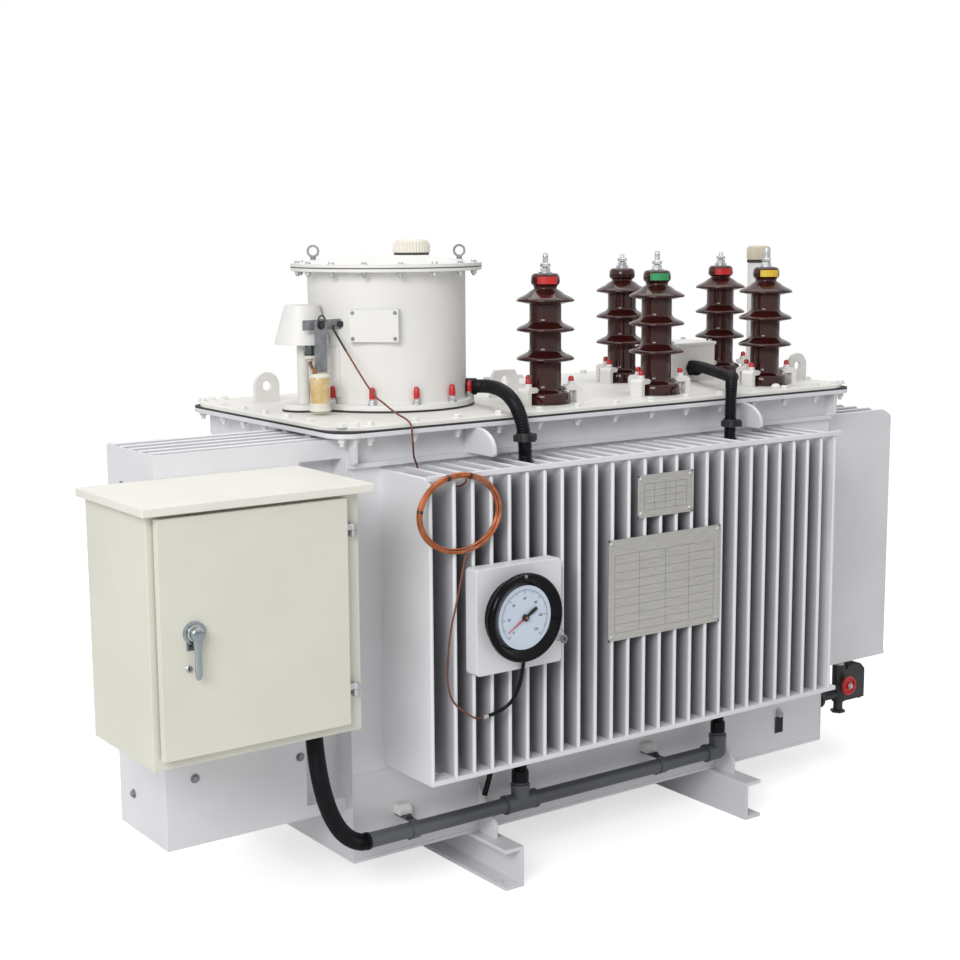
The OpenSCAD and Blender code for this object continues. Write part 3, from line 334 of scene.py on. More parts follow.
def frame_strips(x0, z0, x1, z1, wide):
    """The four strips (x0, z0, x1, z1) inside a rectangle's edge."""
    return ((x0, z0, x1, z0 + wide), (x0, z1 - wide, x1, z1),
            (x0, z0, x0 + wide, z1), (x1 - wide, z0, x1, z1))


class Shape:
    """Closed solids gathered into one piece."""

    def __init__(self):
        self.bm = bmesh.new()

    def loops(self, rings, close=False):
        made = [[self.bm.verts.new(p) for p in ring] for ring in rings]
        for a, b in zip(made, made[1:] + (made[:1] if close else [])):
            for i in range(len(a)):
                j = (i + 1) % len(a)
                self.bm.faces.new((a[i], a[j], b[j], b[i]))
        if not close:
            self.bm.faces.new(made[0])
            self.bm.faces.new(made[-1])
        return self

    def lathe(self, profile, place=Matrix(), turns=32, ring=False, flute=0.0):
        """Turns (radius, height) points about Z; ring closes the profile on itself."""
        return self.loops([[
            place @ Vector(((r - flute * (i % 2)) * cos(a), (r - flute * (i % 2)) * sin(a), z))
            for i, a in enumerate(circle(turns))] for r, z in profile], close=ring)

    def disc(self, place, radius, low, high, turns=32):
        """A straight round solid, or a hexagonal one with 6 turns, along the place's Z."""
        return self.lathe(((radius, low), (radius, high)), place, turns)

    def prism(self, outline, z0, z1, place=Matrix()):
        return self.loops([[place @ Vector((x, y, z)) for x, y in outline] for z in (z0, z1)])

    def box(self, low, high, place=Matrix()):
        (a, b, c), (d, e, f) = low, high
        return self.prism(((a, b), (d, b), (d, e), (a, e)), c, f, place)

    def tube(self, path, radius, sides=12, close=False):
        """A tube along path; radius is a number or one number for each point."""
        n = len(path)
        radii = [radius] * n if isinstance(radius, (int, float)) else radius
        ahead = [(path[(i + 1) % n if close else min(i + 1, n - 1)]
                  - path[(i - 1) % n if close else max(i - 1, 0)]).normalized() for i in range(n)]
        side = ahead[0].orthogonal().normalized()
        rings = []
        for i, p in enumerate(path):
            side = (side - ahead[i] * side.dot(ahead[i])).normalized()
            other = ahead[i].cross(side)
            rings.append([p + (side * cos(a) + other * sin(a)) * radii[i] for a in circle(sides)])
        return self.loops(rings, close=close)

    def bolt(self, place, r=8.0, head=7.0, washer=2.0):
        """A washer and a hexagon head on the place's Z."""
        self.disc(place, r * 1.45, 0, washer, 20)
        self.lathe(((r, washer), (r, washer + head - 1.2), (r - 1.2, washer + head)), place, 6)
        return self

    def piece(self, name, material, body=ROOT, bevel=0.0, sharp=38, replaces=None, slot=None):
        """Makes the object, which rides on body, in its material. slot is not used."""
        bm = self.bm
        bmesh.ops.remove_doubles(bm, verts=bm.verts, dist=0.001)
        bmesh.ops.recalc_face_normals(bm, faces=bm.faces)
        if bevel:
            edges = [e for e in bm.edges if e.is_manifold and e.calc_face_angle(0) > radians(30)]
            bmesh.ops.bevel(bm, geom=edges, offset=bevel, segments=2, profile=0.5,
                            affect="EDGES", clamp_overlap=True)
        bmesh.ops.transform(bm, matrix=Matrix.Scale(MM, 4), verts=bm.verts)
        mesh = bpy.data.meshes.new(name)
        bm.to_mesh(mesh)
        bm.free()
        mesh.shade_smooth()
        mesh.set_sharp_from_angle(angle=radians(sharp))
        mesh.materials.append(material)
        o = add_object(name, mesh)
        if bevel:
            o.modifiers.new("even_shading", "WEIGHTED_NORMAL").keep_sharp = True
        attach(o, body)
        if replaces:
            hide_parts(replaces)
        return o


def skin(node, material, bevel):
    """The CAD node's own form with eased edges, in its place."""
    source = frame["nodes"][node]
    shape = Shape()
    bm = shape.bm
    bm.from_mesh(source.data)
    bmesh.ops.transform(bm, matrix=Matrix.Scale(1 / MM, 4), verts=bm.verts)
    bmesh.ops.remove_doubles(bm, verts=bm.verts, dist=0.005)
    bmesh.ops.dissolve_limit(bm, angle_limit=radians(1), verts=bm.verts, edges=bm.edges)
    shape.piece(node + "_skin", material, source["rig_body"], bevel, replaces=node,
                slot=SLOT_OF[node])


def bezier(a, b, c, d, steps):
    a, b, c, d = map(Vector, (a, b, c, d))
    return [a * (1 - t) ** 3 + b * (3 * t * (1 - t) ** 2) + c * (3 * t * t * (1 - t)) + d * t ** 3
            for t in (i / steps for i in range(steps + 1))]


def length_of(path):
    return sum((q - p).length for p, q in zip(path, path[1:]))


def smooth(points, step):
    """Points about every step millimetres on a soft line through the given ones."""
    points = [Vector(p) for p in points]
    ends = [points[0]] + points + [points[-1]]
    fine = [points[0]]
    for i in range(1, len(ends) - 2):
        p0, p1, p2, p3 = ends[i - 1:i + 3]
        if (p2 - p1).length < 0.01:
            continue
        for k in range(1, 9):
            t = k / 8
            fine.append(0.5 * (2 * p1 + (p2 - p0) * t + (2 * p0 - 5 * p1 + 4 * p2 - p3) * t * t
                               + (3 * p1 - p0 - 3 * p2 + p3) * t ** 3))
    total = length_of(fine)
    count = max(2, round(total / step))
    out, walked, i = [fine[0]], 0.0, 0
    for k in range(1, count):
        goal = total * k / count
        while walked + (fine[i + 1] - fine[i]).length < goal:
            walked += (fine[i + 1] - fine[i]).length
            i += 1
        span = fine[i + 1] - fine[i]
        out.append(fine[i] + span * ((goal - walked) / span.length))
    return out + [fine[-1]]


# ---- measures from the frame

tank_low, tank_high = box_of("tank_walls")
TX0, TY0, TX1, TY1 = tank_low.x, tank_low.y, tank_high.x, tank_high.y
cover_low, cover_high = box_of("tank_cover")
TOP_Z = cover_high.z
RIM_Z = box_of("rim_flange")[0].z
RIM_OUT = TX0 - cover_low.x
lid_low, lid_high = box_of("turret_shell")
TURRET = ((lid_low.x + lid_high.x) / 2, 0.0)
TURRET_R = 173.0
LID_R = (lid_high.x - lid_low.x) / 2
LID_Z = lid_high.z
BASE_TOP = TOP_Z + 16
conduit_low, conduit_high = box_of("conduit")
CONDUIT_Y = (conduit_low.y + conduit_high.y) / 2
CONDUIT_Z = conduit_low.z + 20
cab_low, cab_high = box_of("cabinet_body")
door_low, door_high = box_of("cabinet_door")
fin_low, fin_high = box_of("front_fins")
FIN_Z0 = fin_low.z
FIN_TOP = 910.0
FIN_FIRST = fin_low.x + 4
FIN_STEP = 56.0         # from the first fin to the second
FIN_PITCH = 45.0
FIN_COUNT = 26
FIN_DEPTH = 180.0
TIP_Y = fin_low.y


def fin_x(k):
    return FIN_FIRST if k == 0 else FIN_FIRST + FIN_STEP + (k - 1) * FIN_PITCH


def gap_x(k):
    return (fin_x(k) + fin_x(k + 1)) / 2


TEE_X, ELBOW_X = gap_x(6), gap_x(19)

# ---- corrugated hoses

HOSE_TOP_Y = TY0 - RIM_OUT - 34
TEE_TOP = CONDUIT_Z + 52
GLAND_Z = TOP_Z + 30
TAP_HOSE_R, BOX_HOSE_R, CABINET_HOSE_R = 15.0, 14.0, 17.5
RIB_STEP, RIB_DEPTH = 1.25, 2.2


def hose(node, route, radius, name):
    """A corrugated hose along the route."""
    path = smooth(route, RIB_STEP)
    radii = [radius - (RIB_DEPTH if i % 4 in (0, 3) else 0.0) for i in range(len(path))]
    o = Shape().tube(path, radii, 16).piece(name, HOSE, replaces=node, sharp=60)


def way_down(x, aside=0):
    """From below the rim down between two fins to the conduit."""
    return bezier((x + aside, HOSE_TOP_Y, RIM_Z - 60), (x, HOSE_TOP_Y, RIM_Z - 200),
                  (x, CONDUIT_Y, RIM_Z - 240), (x, CONDUIT_Y, RIM_Z - 420), 5
                  ) + [Vector((x, CONDUIT_Y, TEE_TOP))]


tap_from = around(TURRET, TURRET_R, -38, GLAND_Z + 8)
tap_out = Vector((0.79, -0.61, 0))
hose("tap_hose", [tap_from + 2 * tap_out]
     + bezier(tap_from + 14 * tap_out, tap_from + 40 * tap_out,
              (TEE_X - 25, HOSE_TOP_Y - 14, GLAND_Z + 50), (TEE_X - 2, HOSE_TOP_Y, RIM_Z - 28), 12)
     + way_down(TEE_X), TAP_HOSE_R, "hose_from_turret")

term_low, term_high = box_of("terminal_box")
box_from = Vector((term_high.x - 81, term_low.y + 3, GLAND_Z + 3))
hose("box_hose", [box_from, box_from - Vector((0, 14, 0)), box_from - Vector((34, 70, -8))]
     + bezier(
         (ELBOW_X + 66, HOSE_TOP_Y + 66, GLAND_Z + 8), (ELBOW_X + 20, HOSE_TOP_Y + 14, GLAND_Z + 12),
         (ELBOW_X + 5, HOSE_TOP_Y, GLAND_Z + 8), (ELBOW_X + 4, HOSE_TOP_Y, GLAND_Z - 52), 8)
     + way_down(ELBOW_X, 3), BOX_HOSE_R, "hose_from_box")

cab_hose_from = Vector((cab_high.x - 38, cab_low.y + 117, cab_low.z))
pipe_end = Vector((TX0 - 4, CONDUIT_Y, CONDUIT_Z))
hose("cabinet_hose", [cab_hose_from]
     + bezier(cab_hose_from - up(12), cab_hose_from - Vector((-10, 0, 200)),
              pipe_end - Vector((62, 0, -14)), pipe_end - Vector((10, 0, 0)), 16) + [pipe_end],
     CABINET_HOSE_R, "hose_from_cabinet")

# ---- stage

FLOOR_SIZE = 60.0
FLOOR_GLOW = 0.6
WORLD_LIGHT = 0.5


def add_stage():
    scene = bpy.context.scene
    scene.view_settings.view_transform = "Standard"
    world = scene.world = bpy.data.worlds.new("studio")
    world.use_nodes = True
    tree = world.node_tree
    light = tree.nodes["Background"]
    feed(tree, light, {"Color": WHITE, "Strength": WORLD_LIGHT})
    seen = shader_node(tree, "Background", {"Color": WHITE, "Strength": 1.0})
    ray = shader_node(tree, "LightPath").outputs
    is_seen = shader_node(tree, "Math", {0: ray["Is Camera Ray"], 1: ray["Is Glossy Ray"]},
                          operation="MAXIMUM")
    mix = shader_node(tree, "MixShader", {
        0: is_seen.outputs[0], 1: light.outputs[0], 2: seen.outputs[0]})
    feed(tree, tree.nodes["World Output"], {"Surface": mix.outputs[0]})

    bpy.ops.mesh.primitive_plane_add(size=FLOOR_SIZE, location=(0, 0, -0.0005))
    floor = bpy.context.object
    floor.name = "floor"
    material = bpy.data.materials.new("floor_white")
    material.use_nodes = True
    tree = material.node_tree
    ray = shader_node(tree, "LightPath").outputs
    glow = shader_node(tree, "Math", {0: ray["Is Camera Ray"], 1: FLOOR_GLOW}, operation="MULTIPLY")
    feed(tree, tree.nodes["Principled BSDF"], {
        "Base Color": (0.8, 0.8, 0.8, 1), "Roughness": 0.9, "Specular IOR Level": 0.0,
        "Emission Color": WHITE, "Emission Strength": glow.outputs[0]})
    floor.data.materials.append(material)
    floor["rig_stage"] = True

    def lamp(name, place, aim, size, power):
        light = bpy.data.lights.new(name, "AREA")
        light.shape = "RECTANGLE"
        light.size, light.size_y = size
        light.energy = power
        o = add_object(name, light)
        o.location = place
        o.rotation_euler = (Vector(aim) - Vector(place)).to_track_quat("-Z", "Y").to_euler()

    lamp("key", (-4.6, -3.2, 3.3), (0, 0, 0.7), (2.6, 2.2), 178)
    lamp("top", (0.3, 0.2, 4.2), (0, 0, 0.9), (4.0, 3.0), 68)


add_stage()

# ---- pieces kept in the CAD's form

for node, finish, ease in (
        ("left_skid", ENAMEL, 2.0), ("right_skid", ENAMEL, 2.0), ("skid_gussets", ENAMEL, 1.0),
        ("tank_floor", ENAMEL, 1.0), ("tank_walls", ENAMEL, 1.5), ("rim_flange", ENAMEL, 1.2),
        ("rim_gussets", ENAMEL, 1.0), ("cover_gasket", RUBBER, 0.0), ("tank_cover", COVER, 1.2),
        ("fin_shroud", ENAMEL, 0.8), ("lifting_lugs", WARM, 1.5), ("turret_gasket", RUBBER, 0.0),
        ("turret_base", WARM, 1.5), ("turret_shell", WARM, 1.2), ("turret_lid", WARM, 1.5),
        ("lid_eyes", GALVANISED, 1.0), ("turret_plate", WARM, 1.5), ("breather_hood", WARM, 1.5),
        ("breather_pipe", WARM, 0.0), ("breather_bracket", DARK_STEEL, 1.0),
        ("bushing_clamps", WARM, 1.5), ("terminal_box", WARM, 1.5), ("filler_pipe", WARM, 0.0),
        ("conduit", PVC, 1.0), ("conduit_straps", PVC, 0.6), ("gauge_plate", ENAMEL, 1.5),
        ("drain_valve", IRON, 2.0), ("earth_terminal", ZINC, 1.0), ("cabinet_body", CREAM, 1.2),
        ("cabinet_roof", ROOF, 2.0), ("cabinet_door", CREAM, 2.2),
        ("cabinet_hinges", ZINC, 1.0), ("door_hinges", ZINC, 1.0)):
    skin(node, finish, ease)

# ---- fins


def add_fin(shape, foot, out, z0, z1, depth, corner, thick=4.0):
    """A pressed fin: flat sides, a rounded outer edge and a rounded outer top corner."""
    out = Vector(out)
    side = Vector((-out.y, out.x, 0))
    columns = [(0.0, thick), (depth - corner, thick)]
    columns += [(depth - thick * (1 - sin(a)), max(0.4, thick * cos(a)))
                for a in (radians(degrees) for degrees in (0, 25, 50, 72, 86))]
    rings = []
    for d, t in columns:
        over = max(0.0, d - (depth - corner))
        top = z1 - (corner - sqrt(max(0.0, corner * corner - over * over)))
        p = Vector((foot[0], foot[1], 0)) + out * d
        rings.append([Vector(((p + side * s).x, (p + side * s).y, z)) for s, z in
                      ((-t, z0), (t, z0), (t, top - 2), (t / 2, top), (-t / 2, top), (-t, top - 2))])
    shape.loops(rings)


def ties(node, boxes):
    shape = Shape()
    for low, high in boxes:
        shape.box(low, high)
    shape.piece(node + "_ties", ENAMEL, bevel=1.0)


def bank(node, feet, out, z0, z1, depth, corner):
    """One bank: its end fins keep plain enamel on their outer face; the ones between take painted
    shade, darker towards the tank's wall, and painted light on their tops.
    """
    axis = 0 if out[0] else 1
    wall = abs(feet[0][axis])
    # a copy of the enamel with painted shade between the fins and painted light on their tops
    painted_shade_enamel = surface(node + "_enamel", (0.78, 0.785, 0.81), (0.74, 0.745, 0.77),
                    0.4, 0.08, grain=5, painted_shade=("XY"[axis], wall * MM, (wall + depth) * MM, z1 * MM))
    between, ends = Shape(), Shape()
    for k, foot in enumerate(feet):
        add_fin(ends if k in (0, len(feet) - 1) else between, foot, out, z0, z1, depth, corner)
    between.piece(node + "_bank", painted_shade_enamel, replaces=node)
    ends.piece(node + "_ends", ENAMEL)


TIE_HIGH = 10           # the lower tie bars, from 0.4 mm below the fins
for node, y, way in (("front_fins", TY0, -1), ("rear_fins", TY1, 1)):
    bank(node, [(fin_x(k), y) for k in range(FIN_COUNT)], (0, way, 0), FIN_Z0, FIN_TOP, FIN_DEPTH, 20)
    tip = y + way * FIN_DEPTH
    y0, y1 = sorted((tip, tip - way * 12))
    y2, y3 = sorted((tip, tip - way * 40))
    x0, x1 = FIN_FIRST - 4.4, fin_high.x - 0.6
    ties(node, (((x0, y0, FIN_TOP - 6), (x1, y1, FIN_TOP + 4)),
                ((x0, y2, FIN_Z0 - 0.4), (x1, y3, FIN_Z0 + TIE_HIGH))))

RIGHT_COUNT, RIGHT_PITCH, RIGHT_DEPTH = 12, 47.0, 265.0
right_low, right_high = box_of("right_fins")
right_half = RIGHT_PITCH * (RIGHT_COUNT - 1) / 2
bank("right_fins", [(TX1, RIGHT_PITCH * k - right_half) for k in range(RIGHT_COUNT)], RIGHT,
     right_low.z, right_high.z, RIGHT_DEPTH, 30)
ties("right_fins", (((right_high.x - 40, -right_half - 4.4, right_low.z - 0.4),
                     (right_high.x, right_half + 4.4, right_low.z + TIE_HIGH)),))

SHROUD_Y = -267.5       # front face of the sheet over the left fins
LEFT_COUNT, LEFT_PITCH, LEFT_DEPTH = 5, 43.0, 400.0
left_low, left_high = box_of("left_fins")
bank("left_fins", [(TX0, SHROUD_Y + (k + 1) * LEFT_PITCH) for k in range(LEFT_COUNT)], LEFT,
     left_low.z, left_high.z, LEFT_DEPTH, 1)
ties("left_fins", (((left_low.x, SHROUD_Y + LEFT_PITCH - 4.4, left_low.z - 0.4),
                    (left_low.x + 40, left_high.y - 0.6, left_low.z + TIE_HIGH)),))

# ---- tank: bolts, welds, hardware

BOLT_IN = 18.5          # from the cover's edge to the bolts' line
RIM_PITCH, END_PITCH = 105.75, 95.0
rim_bolts = Shape()
spots = [(-633 + k * RIM_PITCH, y) for k in range(13)
         for y in (TY0 - RIM_OUT + BOLT_IN, TY1 + RIM_OUT - BOLT_IN)]
spots += [(x, (k - 2) * END_PITCH) for k in range(5)
          for x in (TX0 - RIM_OUT + BOLT_IN, TX1 + RIM_OUT - BOLT_IN)]
for sx, mx in ((-1, TX0), (1, TX1)):
    for sy, my in ((-1, TY0), (1, TY1)):
        spots += [(mx + sx * 20.5, my + sy * 18.5), (mx - sx * 6, my + sy * 25)]
for x, y in spots:
    rim_bolts.bolt(at((x, y, TOP_Z - 0.5), spin=(x * 7 + y * 3) % 60), 8.5, 6.5)
    rim_bolts.disc(at((x, y, RIM_Z)), 12, -2, 0.5, 20)
    rim_bolts.disc(at((x, y, RIM_Z), spin=(x + y) % 60), 8.5, -10, -1.5, 6)
    rim_bolts.lathe(((4.2, -18), (5, -17), (5, -9)), at((x, y, RIM_Z)), 12)
rim_bolts.piece("rim_bolts", WARM, bevel=0.5)

SKID_TOP = 90
welds = Shape()
for z, radius in ((FIN_Z0 - 12, 1.8), (RIM_Z - 1.5, 2.7)):
    corners = ((TX0, TY0), (TX1, TY0), (TX1, TY1), (TX0, TY1))
    welds.tube([Vector((x, y, z)) for x, y in corners], radius, 8, close=True)
for x in (TX0, TX1):
    for y in (TY0, TY1):
        welds.tube([Vector((x, y, SKID_TOP + 2)), Vector((x, y, RIM_Z))], 1.6, 8)
for node in ("left_skid", "right_skid"):
    low, high = box_of(node)
    for x in (low.x, high.x):
        welds.tube(smooth([(x, y, SKID_TOP + 0.5) for y in (TY0 + 4, 0, TY1 - 4)], 12), 2.6, 8)
for x, y, w in ((TX0 + 85, TY1 - 88, 62), (TX1, TY0 + 110, 62), (TURRET[0] + 293, -36, 80)):
    for side in (y - 5, y + 5):
        welds.tube([Vector((x - w / 2, side, TOP_Z)), Vector((x + w / 2, side, TOP_Z))], 2.4, 8)
for z, radius in ((LID_Z - 8, 2.2), (BASE_TOP, 2.6)):
    welds.tube([around(TURRET, TURRET_R, 7.5 * k, z) for k in range(48)], radius, 8, close=True)
welds.piece("weld_beads", ENAMEL)

plugs = Shape()
for x, y in ((-21, -148), (543, -273)):
    plugs.lathe(((11, -0.5), (11, 3), (8, 7), (3, 8.5)), at((x, y, TOP_Z)), 20)
plugs.piece("cover_plugs", WARM)

# ---- turret

PLATE_TURN = -41        # degrees about the turret's axis
on_turret = turned((TURRET[0], 0, BASE_TOP + 167.4), PLATE_TURN)
screws = Shape()
for sx in (-45, 45):
    for sz in (-27, 27):
        screws.lathe(((4, 0), (4, 1.6), (3, 3)), on_turret @ facing((sx, -TURRET_R - 13.6, sz)), 16)
screws.piece("plate_screws_turret", DARK_STEEL)

STUD_CIRCLE_R = 181.5
nuts, turret_caps = Shape(), Shape()
for k in range(12):
    p = around(TURRET, STUD_CIRCLE_R, -163 + 30 * k, BASE_TOP)
    nuts.disc(at(p), 10, -0.5, 2, 20).lathe(((8, 1.5), (8, 9), (7, 10)), at(p, spin=13 * k), 6)
    nuts.disc(at(p, spin=13 * k + 20), 6.5, 9.5, 14, 6)
    turret_caps.lathe(((6.6, 13), (6.6, 24), (5.6, 34), (3.6, 37), (1.5, 37.8)), at(p), 16)
for k in range(16):
    p = around(TURRET, LID_R - 14, -113.5 + 22.5 * k, LID_Z)
    nuts.bolt(at(p + up(7.5), spin=19 * k), 6, 5, 1.5)
    nuts.disc(at(p), 9, -9.6, -8, 20).disc(at(p, spin=11 * k), 6.5, -15.5, -9, 6)
    nuts.lathe(((3, -20), (3.8, -19), (3.8, -15)), at(p), 12)
nuts.piece("turret_bolts", ZINC, bevel=0.3)
Shape().lathe(((LID_R - 30, -1.2), (LID_R + 0.3, -1.2), (LID_R + 0.3, 1.2), (LID_R - 30, 1.2)),
              at((TURRET[0], 0, LID_Z)), 96, ring=True).piece("lid_gasket", GREY_LINE)

cap_low, cap_high, cap = span_of("lid_cap")
cap_r, cap_h = (cap_high.x - cap_low.x) / 2, cap_high.z - cap_low.z
on_lid = at((cap.x, cap.y, cap_low.z))
ridged = Shape().lathe(((cap_r - 4, 3.5), (cap_r, 6), (cap_r, cap_h - 14), (cap_r - 3, cap_h - 7)),
                       on_lid, 72, flute=1.6)
ridged.lathe(((cap_r - 3.5, cap_h - 8), (cap_r - 6, cap_h - 3), (cap_r - 12, cap_h), (6, cap_h)),
             on_lid, 48)
ridged.piece("lid_cap_knurled", IVORY, replaces="lid_cap")
Shape().disc(on_lid, cap_r - 2.5, 0, 4, 48).piece("lid_cap_washer", RUBBER)

# ---- breather

cup_low, cup_high, cup = span_of("sight_cup")
tube_from = Vector((cup.x, cup.y, cup_low.z))
on_cup = at(tube_from)
Shape().lathe(((12.5, 6), (12.5, 23), (11.5, cup_high.z - cup_low.z)), on_cup, 32
              ).piece("sight_glass", GREENISH, replaces="sight_cup")
Shape().lathe(((14, 0), (14, 1), (15, 1.5), (15, 5.5), (13.5, 7)), on_cup, 32
              ).disc(on_cup, 7, -6, 0.5, 6).piece("sight_glass_base", IVORY, bevel=0.4)
jar_low, jar_high, jar = span_of("breather_jar")
jar_h = jar_high.z - jar_low.z
on_jar = at((jar.x, jar.y, jar_low.z))
Shape().lathe(((20.5, 15), (21, 17), (21, jar_h - 8), (20.3, jar_h - 6)), on_jar, 40
              ).piece("jar_glass", AMBER, replaces="breather_jar")
jar_ends = Shape().lathe(((20, 0), (23, 1.5), (23, 5), (21.5, 6), (21.5, 16), (22, 16.5), (22, 18)),
                         on_jar, 40)
jar_ends.lathe(((21.5, jar_h - 8), (21.5, jar_h - 5), (17, jar_h - 1.5), (12, jar_h), (6, jar_h)),
               on_jar, 40)
jar_ends.piece("jar_ends", IVORY, bevel=0.4)
tube_to = Vector((jar.x - 9, jar.y + 4, jar_high.z))
tube_bend = bezier(tube_from - up(3), tube_from - up(14),
                   tube_to + Vector((0, 20, 16)), tube_to + up(6), 8)
Shape().tube(smooth([tube_from] + tube_bend + [tube_to], 3), 4.0, 12
             ).lathe(((6, -1), (6, 6), (4.5, 8)), at(tube_to), 6
                     ).piece("breather_pipe_brass", BRASS, replaces="breather_tube")

ARM_Z, ARM_END_X = TOP_Z + 186, -552
pin = Vector((jar.x + 14.5, jar.y + 18, ARM_Z))
fasteners = Shape().disc(at(pin, FRONT), 9, 2, 4, 20).disc(at(pin, FRONT), 6.5, 3.5, 9, 6)
fasteners.disc(at((ARM_END_X, -68.5, ARM_Z), FRONT), 7.5, 0, 6, 6)
loop = pin + Vector((0, -6, 12))
fasteners.tube([loop + Vector((8 * cos(a), 0, 8 * sin(a))) for a in circle(20)], 1.6, 8, close=True)
fasteners.piece("breather_fasteners", IRON, bevel=0.3)
spine = turned((TURRET[0], 0, 0), -161)
Shape().box((TURRET_R - 2, -10, TOP_Z + 30), (TURRET_R + 6, 10, TOP_Z + 136), spine
            ).piece("turret_spine", WARM, bevel=1)

# ---- bushings

BODY_R, SHED_R = 35.0, 64.0
SHEDS = (99, 163, 227)  # height of each shed's edge above the cover
NECK_Z, HEAD_Z = 236, 286
THREAD_STEP = 1.3


def bushing_profile(sunk):
    """Radius and height up the porcelain; sunk lowers its head."""
    line = [(50, 0), (54, 1.5), (54, 19), (52.5, 23), (49, 25.5), (BODY_R + 8, 28),
            (BODY_R + 2, 33), (BODY_R, 40)]
    for z in SHEDS:
        line += [(BODY_R, z - 9), (BODY_R + 3, z - 8), (SHED_R - 7, z - 3.5), (SHED_R - 2.2, z - 3),
                 (SHED_R - 0.4, z - 1.4), (SHED_R, z + 0.5), (SHED_R - 1.2, z + 2.6),
                 (SHED_R - 8, z + 7), (BODY_R + 12, z + 11), (BODY_R + 4, z + 15),
                 (BODY_R + 0.5, z + 20), (BODY_R, z + 25)]
    head = ((27, 259), (31, 263), (32, 270), (31, 279), (28, 284), (22, HEAD_Z))
    return [p for p in line if p[1] < NECK_Z] + [
        (BODY_R + 8, 240), (BODY_R - 1, 247), (BODY_R - 9, 251), (BODY_R - 10, 255)
    ] + [(r, z - sunk) for r, z in head]


terminals, sleeves, clamp_caps, clamp_nuts = Shape(), Shape(), Shape(), Shape()
MARKS = {"front_bushing_1": RED, "front_bushing_2": GREEN, "front_bushing_3": YELLOW,
         "rear_bushing_1": None, "rear_bushing_2": RED}
for node, mark in MARKS.items():
    low, high, middle = span_of(node)
    foot = at((middle.x, middle.y, TOP_Z))
    rear = node.startswith("rear")
    sunk = 3.5 if rear else 0.0
    Shape().lathe(bushing_profile(sunk), foot, 64).piece(
        node + "_porcelain", PORCELAIN, replaces=node, sharp=50)
    sleeves.disc(foot, 55.5, -0.3, 2, 48)
    stud = high.z - TOP_Z
    terminals.disc(foot, 15, 282, 288.5)
    terminals.lathe(((11.5, 288), (11.5, 297), (10.5, 298)), foot, 6)
    terminals.lathe(((11.5, 299.5), (11.5, 306), (10.5, 307)),
                    at((middle.x, middle.y, TOP_Z), spin=25), 6)
    turns = int((stud - HEAD_Z - 6) / THREAD_STEP)
    thread = [(5.6 if k % 2 else 6.5, HEAD_Z + THREAD_STEP * k) for k in range(turns)]
    terminals.lathe(thread + [(5.5, stud - 4), (2.2, stud)], foot, 20)
    if mark:
        arc = [around(middle, r, a) for r, angles in
               ((32.8, range(-160, -74, 5)), (30.2, range(-75, -161, -5))) for a in angles]
        Shape().loops([[Vector((p.x, p.y, TOP_Z + z - sunk)) for p in arc] for z in (263, 279)]
                      ).piece(node + "_mark", mark)
    for a in (90, 200, 318) if rear else (90, 195, 345):
        p = around(middle, 62, a, TOP_Z + 39)
        clamp_nuts.disc(at(p), 9.5, -0.5, 1.8, 20).disc(at(p, spin=a), 8, 1.5, 8, 6)
        clamp_caps.lathe(((6.2, 7.5), (6.2, 15), (5, 18), (2, 19.5)), at(p), 16)
terminals.piece("bushing_terminals", ZINC)
sleeves.piece("bushing_gaskets", RUBBER)
clamp_nuts.piece("clamp_nuts", WARM, bevel=0.4)
clamp_caps.piece("clamp_caps", RED)
turret_caps.piece("turret_stud_caps", RED)

# ---- terminal box, filler, glands

filler_low, filler_high, filler = span_of("filler_cap")
on_pipe = at((filler.x, filler.y, filler_low.z))
r = (filler_high.x - filler_low.x) / 2
Shape().lathe(((r - 1, 7), (r, 8), (r, 34), (r - 1.5, 37)), on_pipe, 60, flute=1.4
              ).lathe(((r - 1.5, 36), (r - 3, 39.5), (r - 9, 42), (4, 42)), on_pipe, 48
                      ).piece("filler_cap_ridged", BEIGE, replaces="filler_cap")
Shape().lathe(((r - 0.6, 0), (r - 0.6, 5.5), (r - 4, 7.5)), on_pipe, 48).piece("filler_ring", RUBBER)

box_bolts = Shape()
for x in (term_low.x + 12, term_high.x - 12):
    for y in (term_low.y + 12, term_high.y - 12):
        spot = at((x, y, term_high.z))
        box_bolts.disc(spot, 7, -0.3, 1.4, 16).disc(spot, 5, 1, 5, 6)
box_bolts.piece("terminal_box_bolts", ZINC, bevel=0.3)

glands = Shape()
for spot in (at(tap_from, tap_out), at(box_from, FRONT)):
    glands.disc(spot, 21, -1, 9, 6).lathe(((19, 8.5), (19, 21), (16.8, 25)), spot, 28, flute=0.6)
for x, s in ((TEE_X, 19.0), (ELBOW_X, 17.5)):
    glands.lathe(((s, 0), (s, 20), (s - 1.2, 26)), at((x, CONDUIT_Y, TEE_TOP - 6)), 30, flute=0.7)
glands.disc(at((TX0 - 1, CONDUIT_Y, CONDUIT_Z), LEFT), 18.2, 0, 7, 30)
glands.piece("hose_glands", HOSE, bevel=0.4)

COLLAR_R = 21.2
pipe_collars = Shape()
for x in (TEE_X, ELBOW_X):
    pipe_collars.disc(at((x, CONDUIT_Y, CONDUIT_Z + 32)), COLLAR_R, 0, 9, 40)
for x in (TEE_X - 42, TEE_X + 34, ELBOW_X - 40):
    pipe_collars.disc(at((x, CONDUIT_Y, CONDUIT_Z), RIGHT), COLLAR_R, 0, 8, 40)
pipe_collars.piece("pipe_collars", PVC, bevel=0.8)

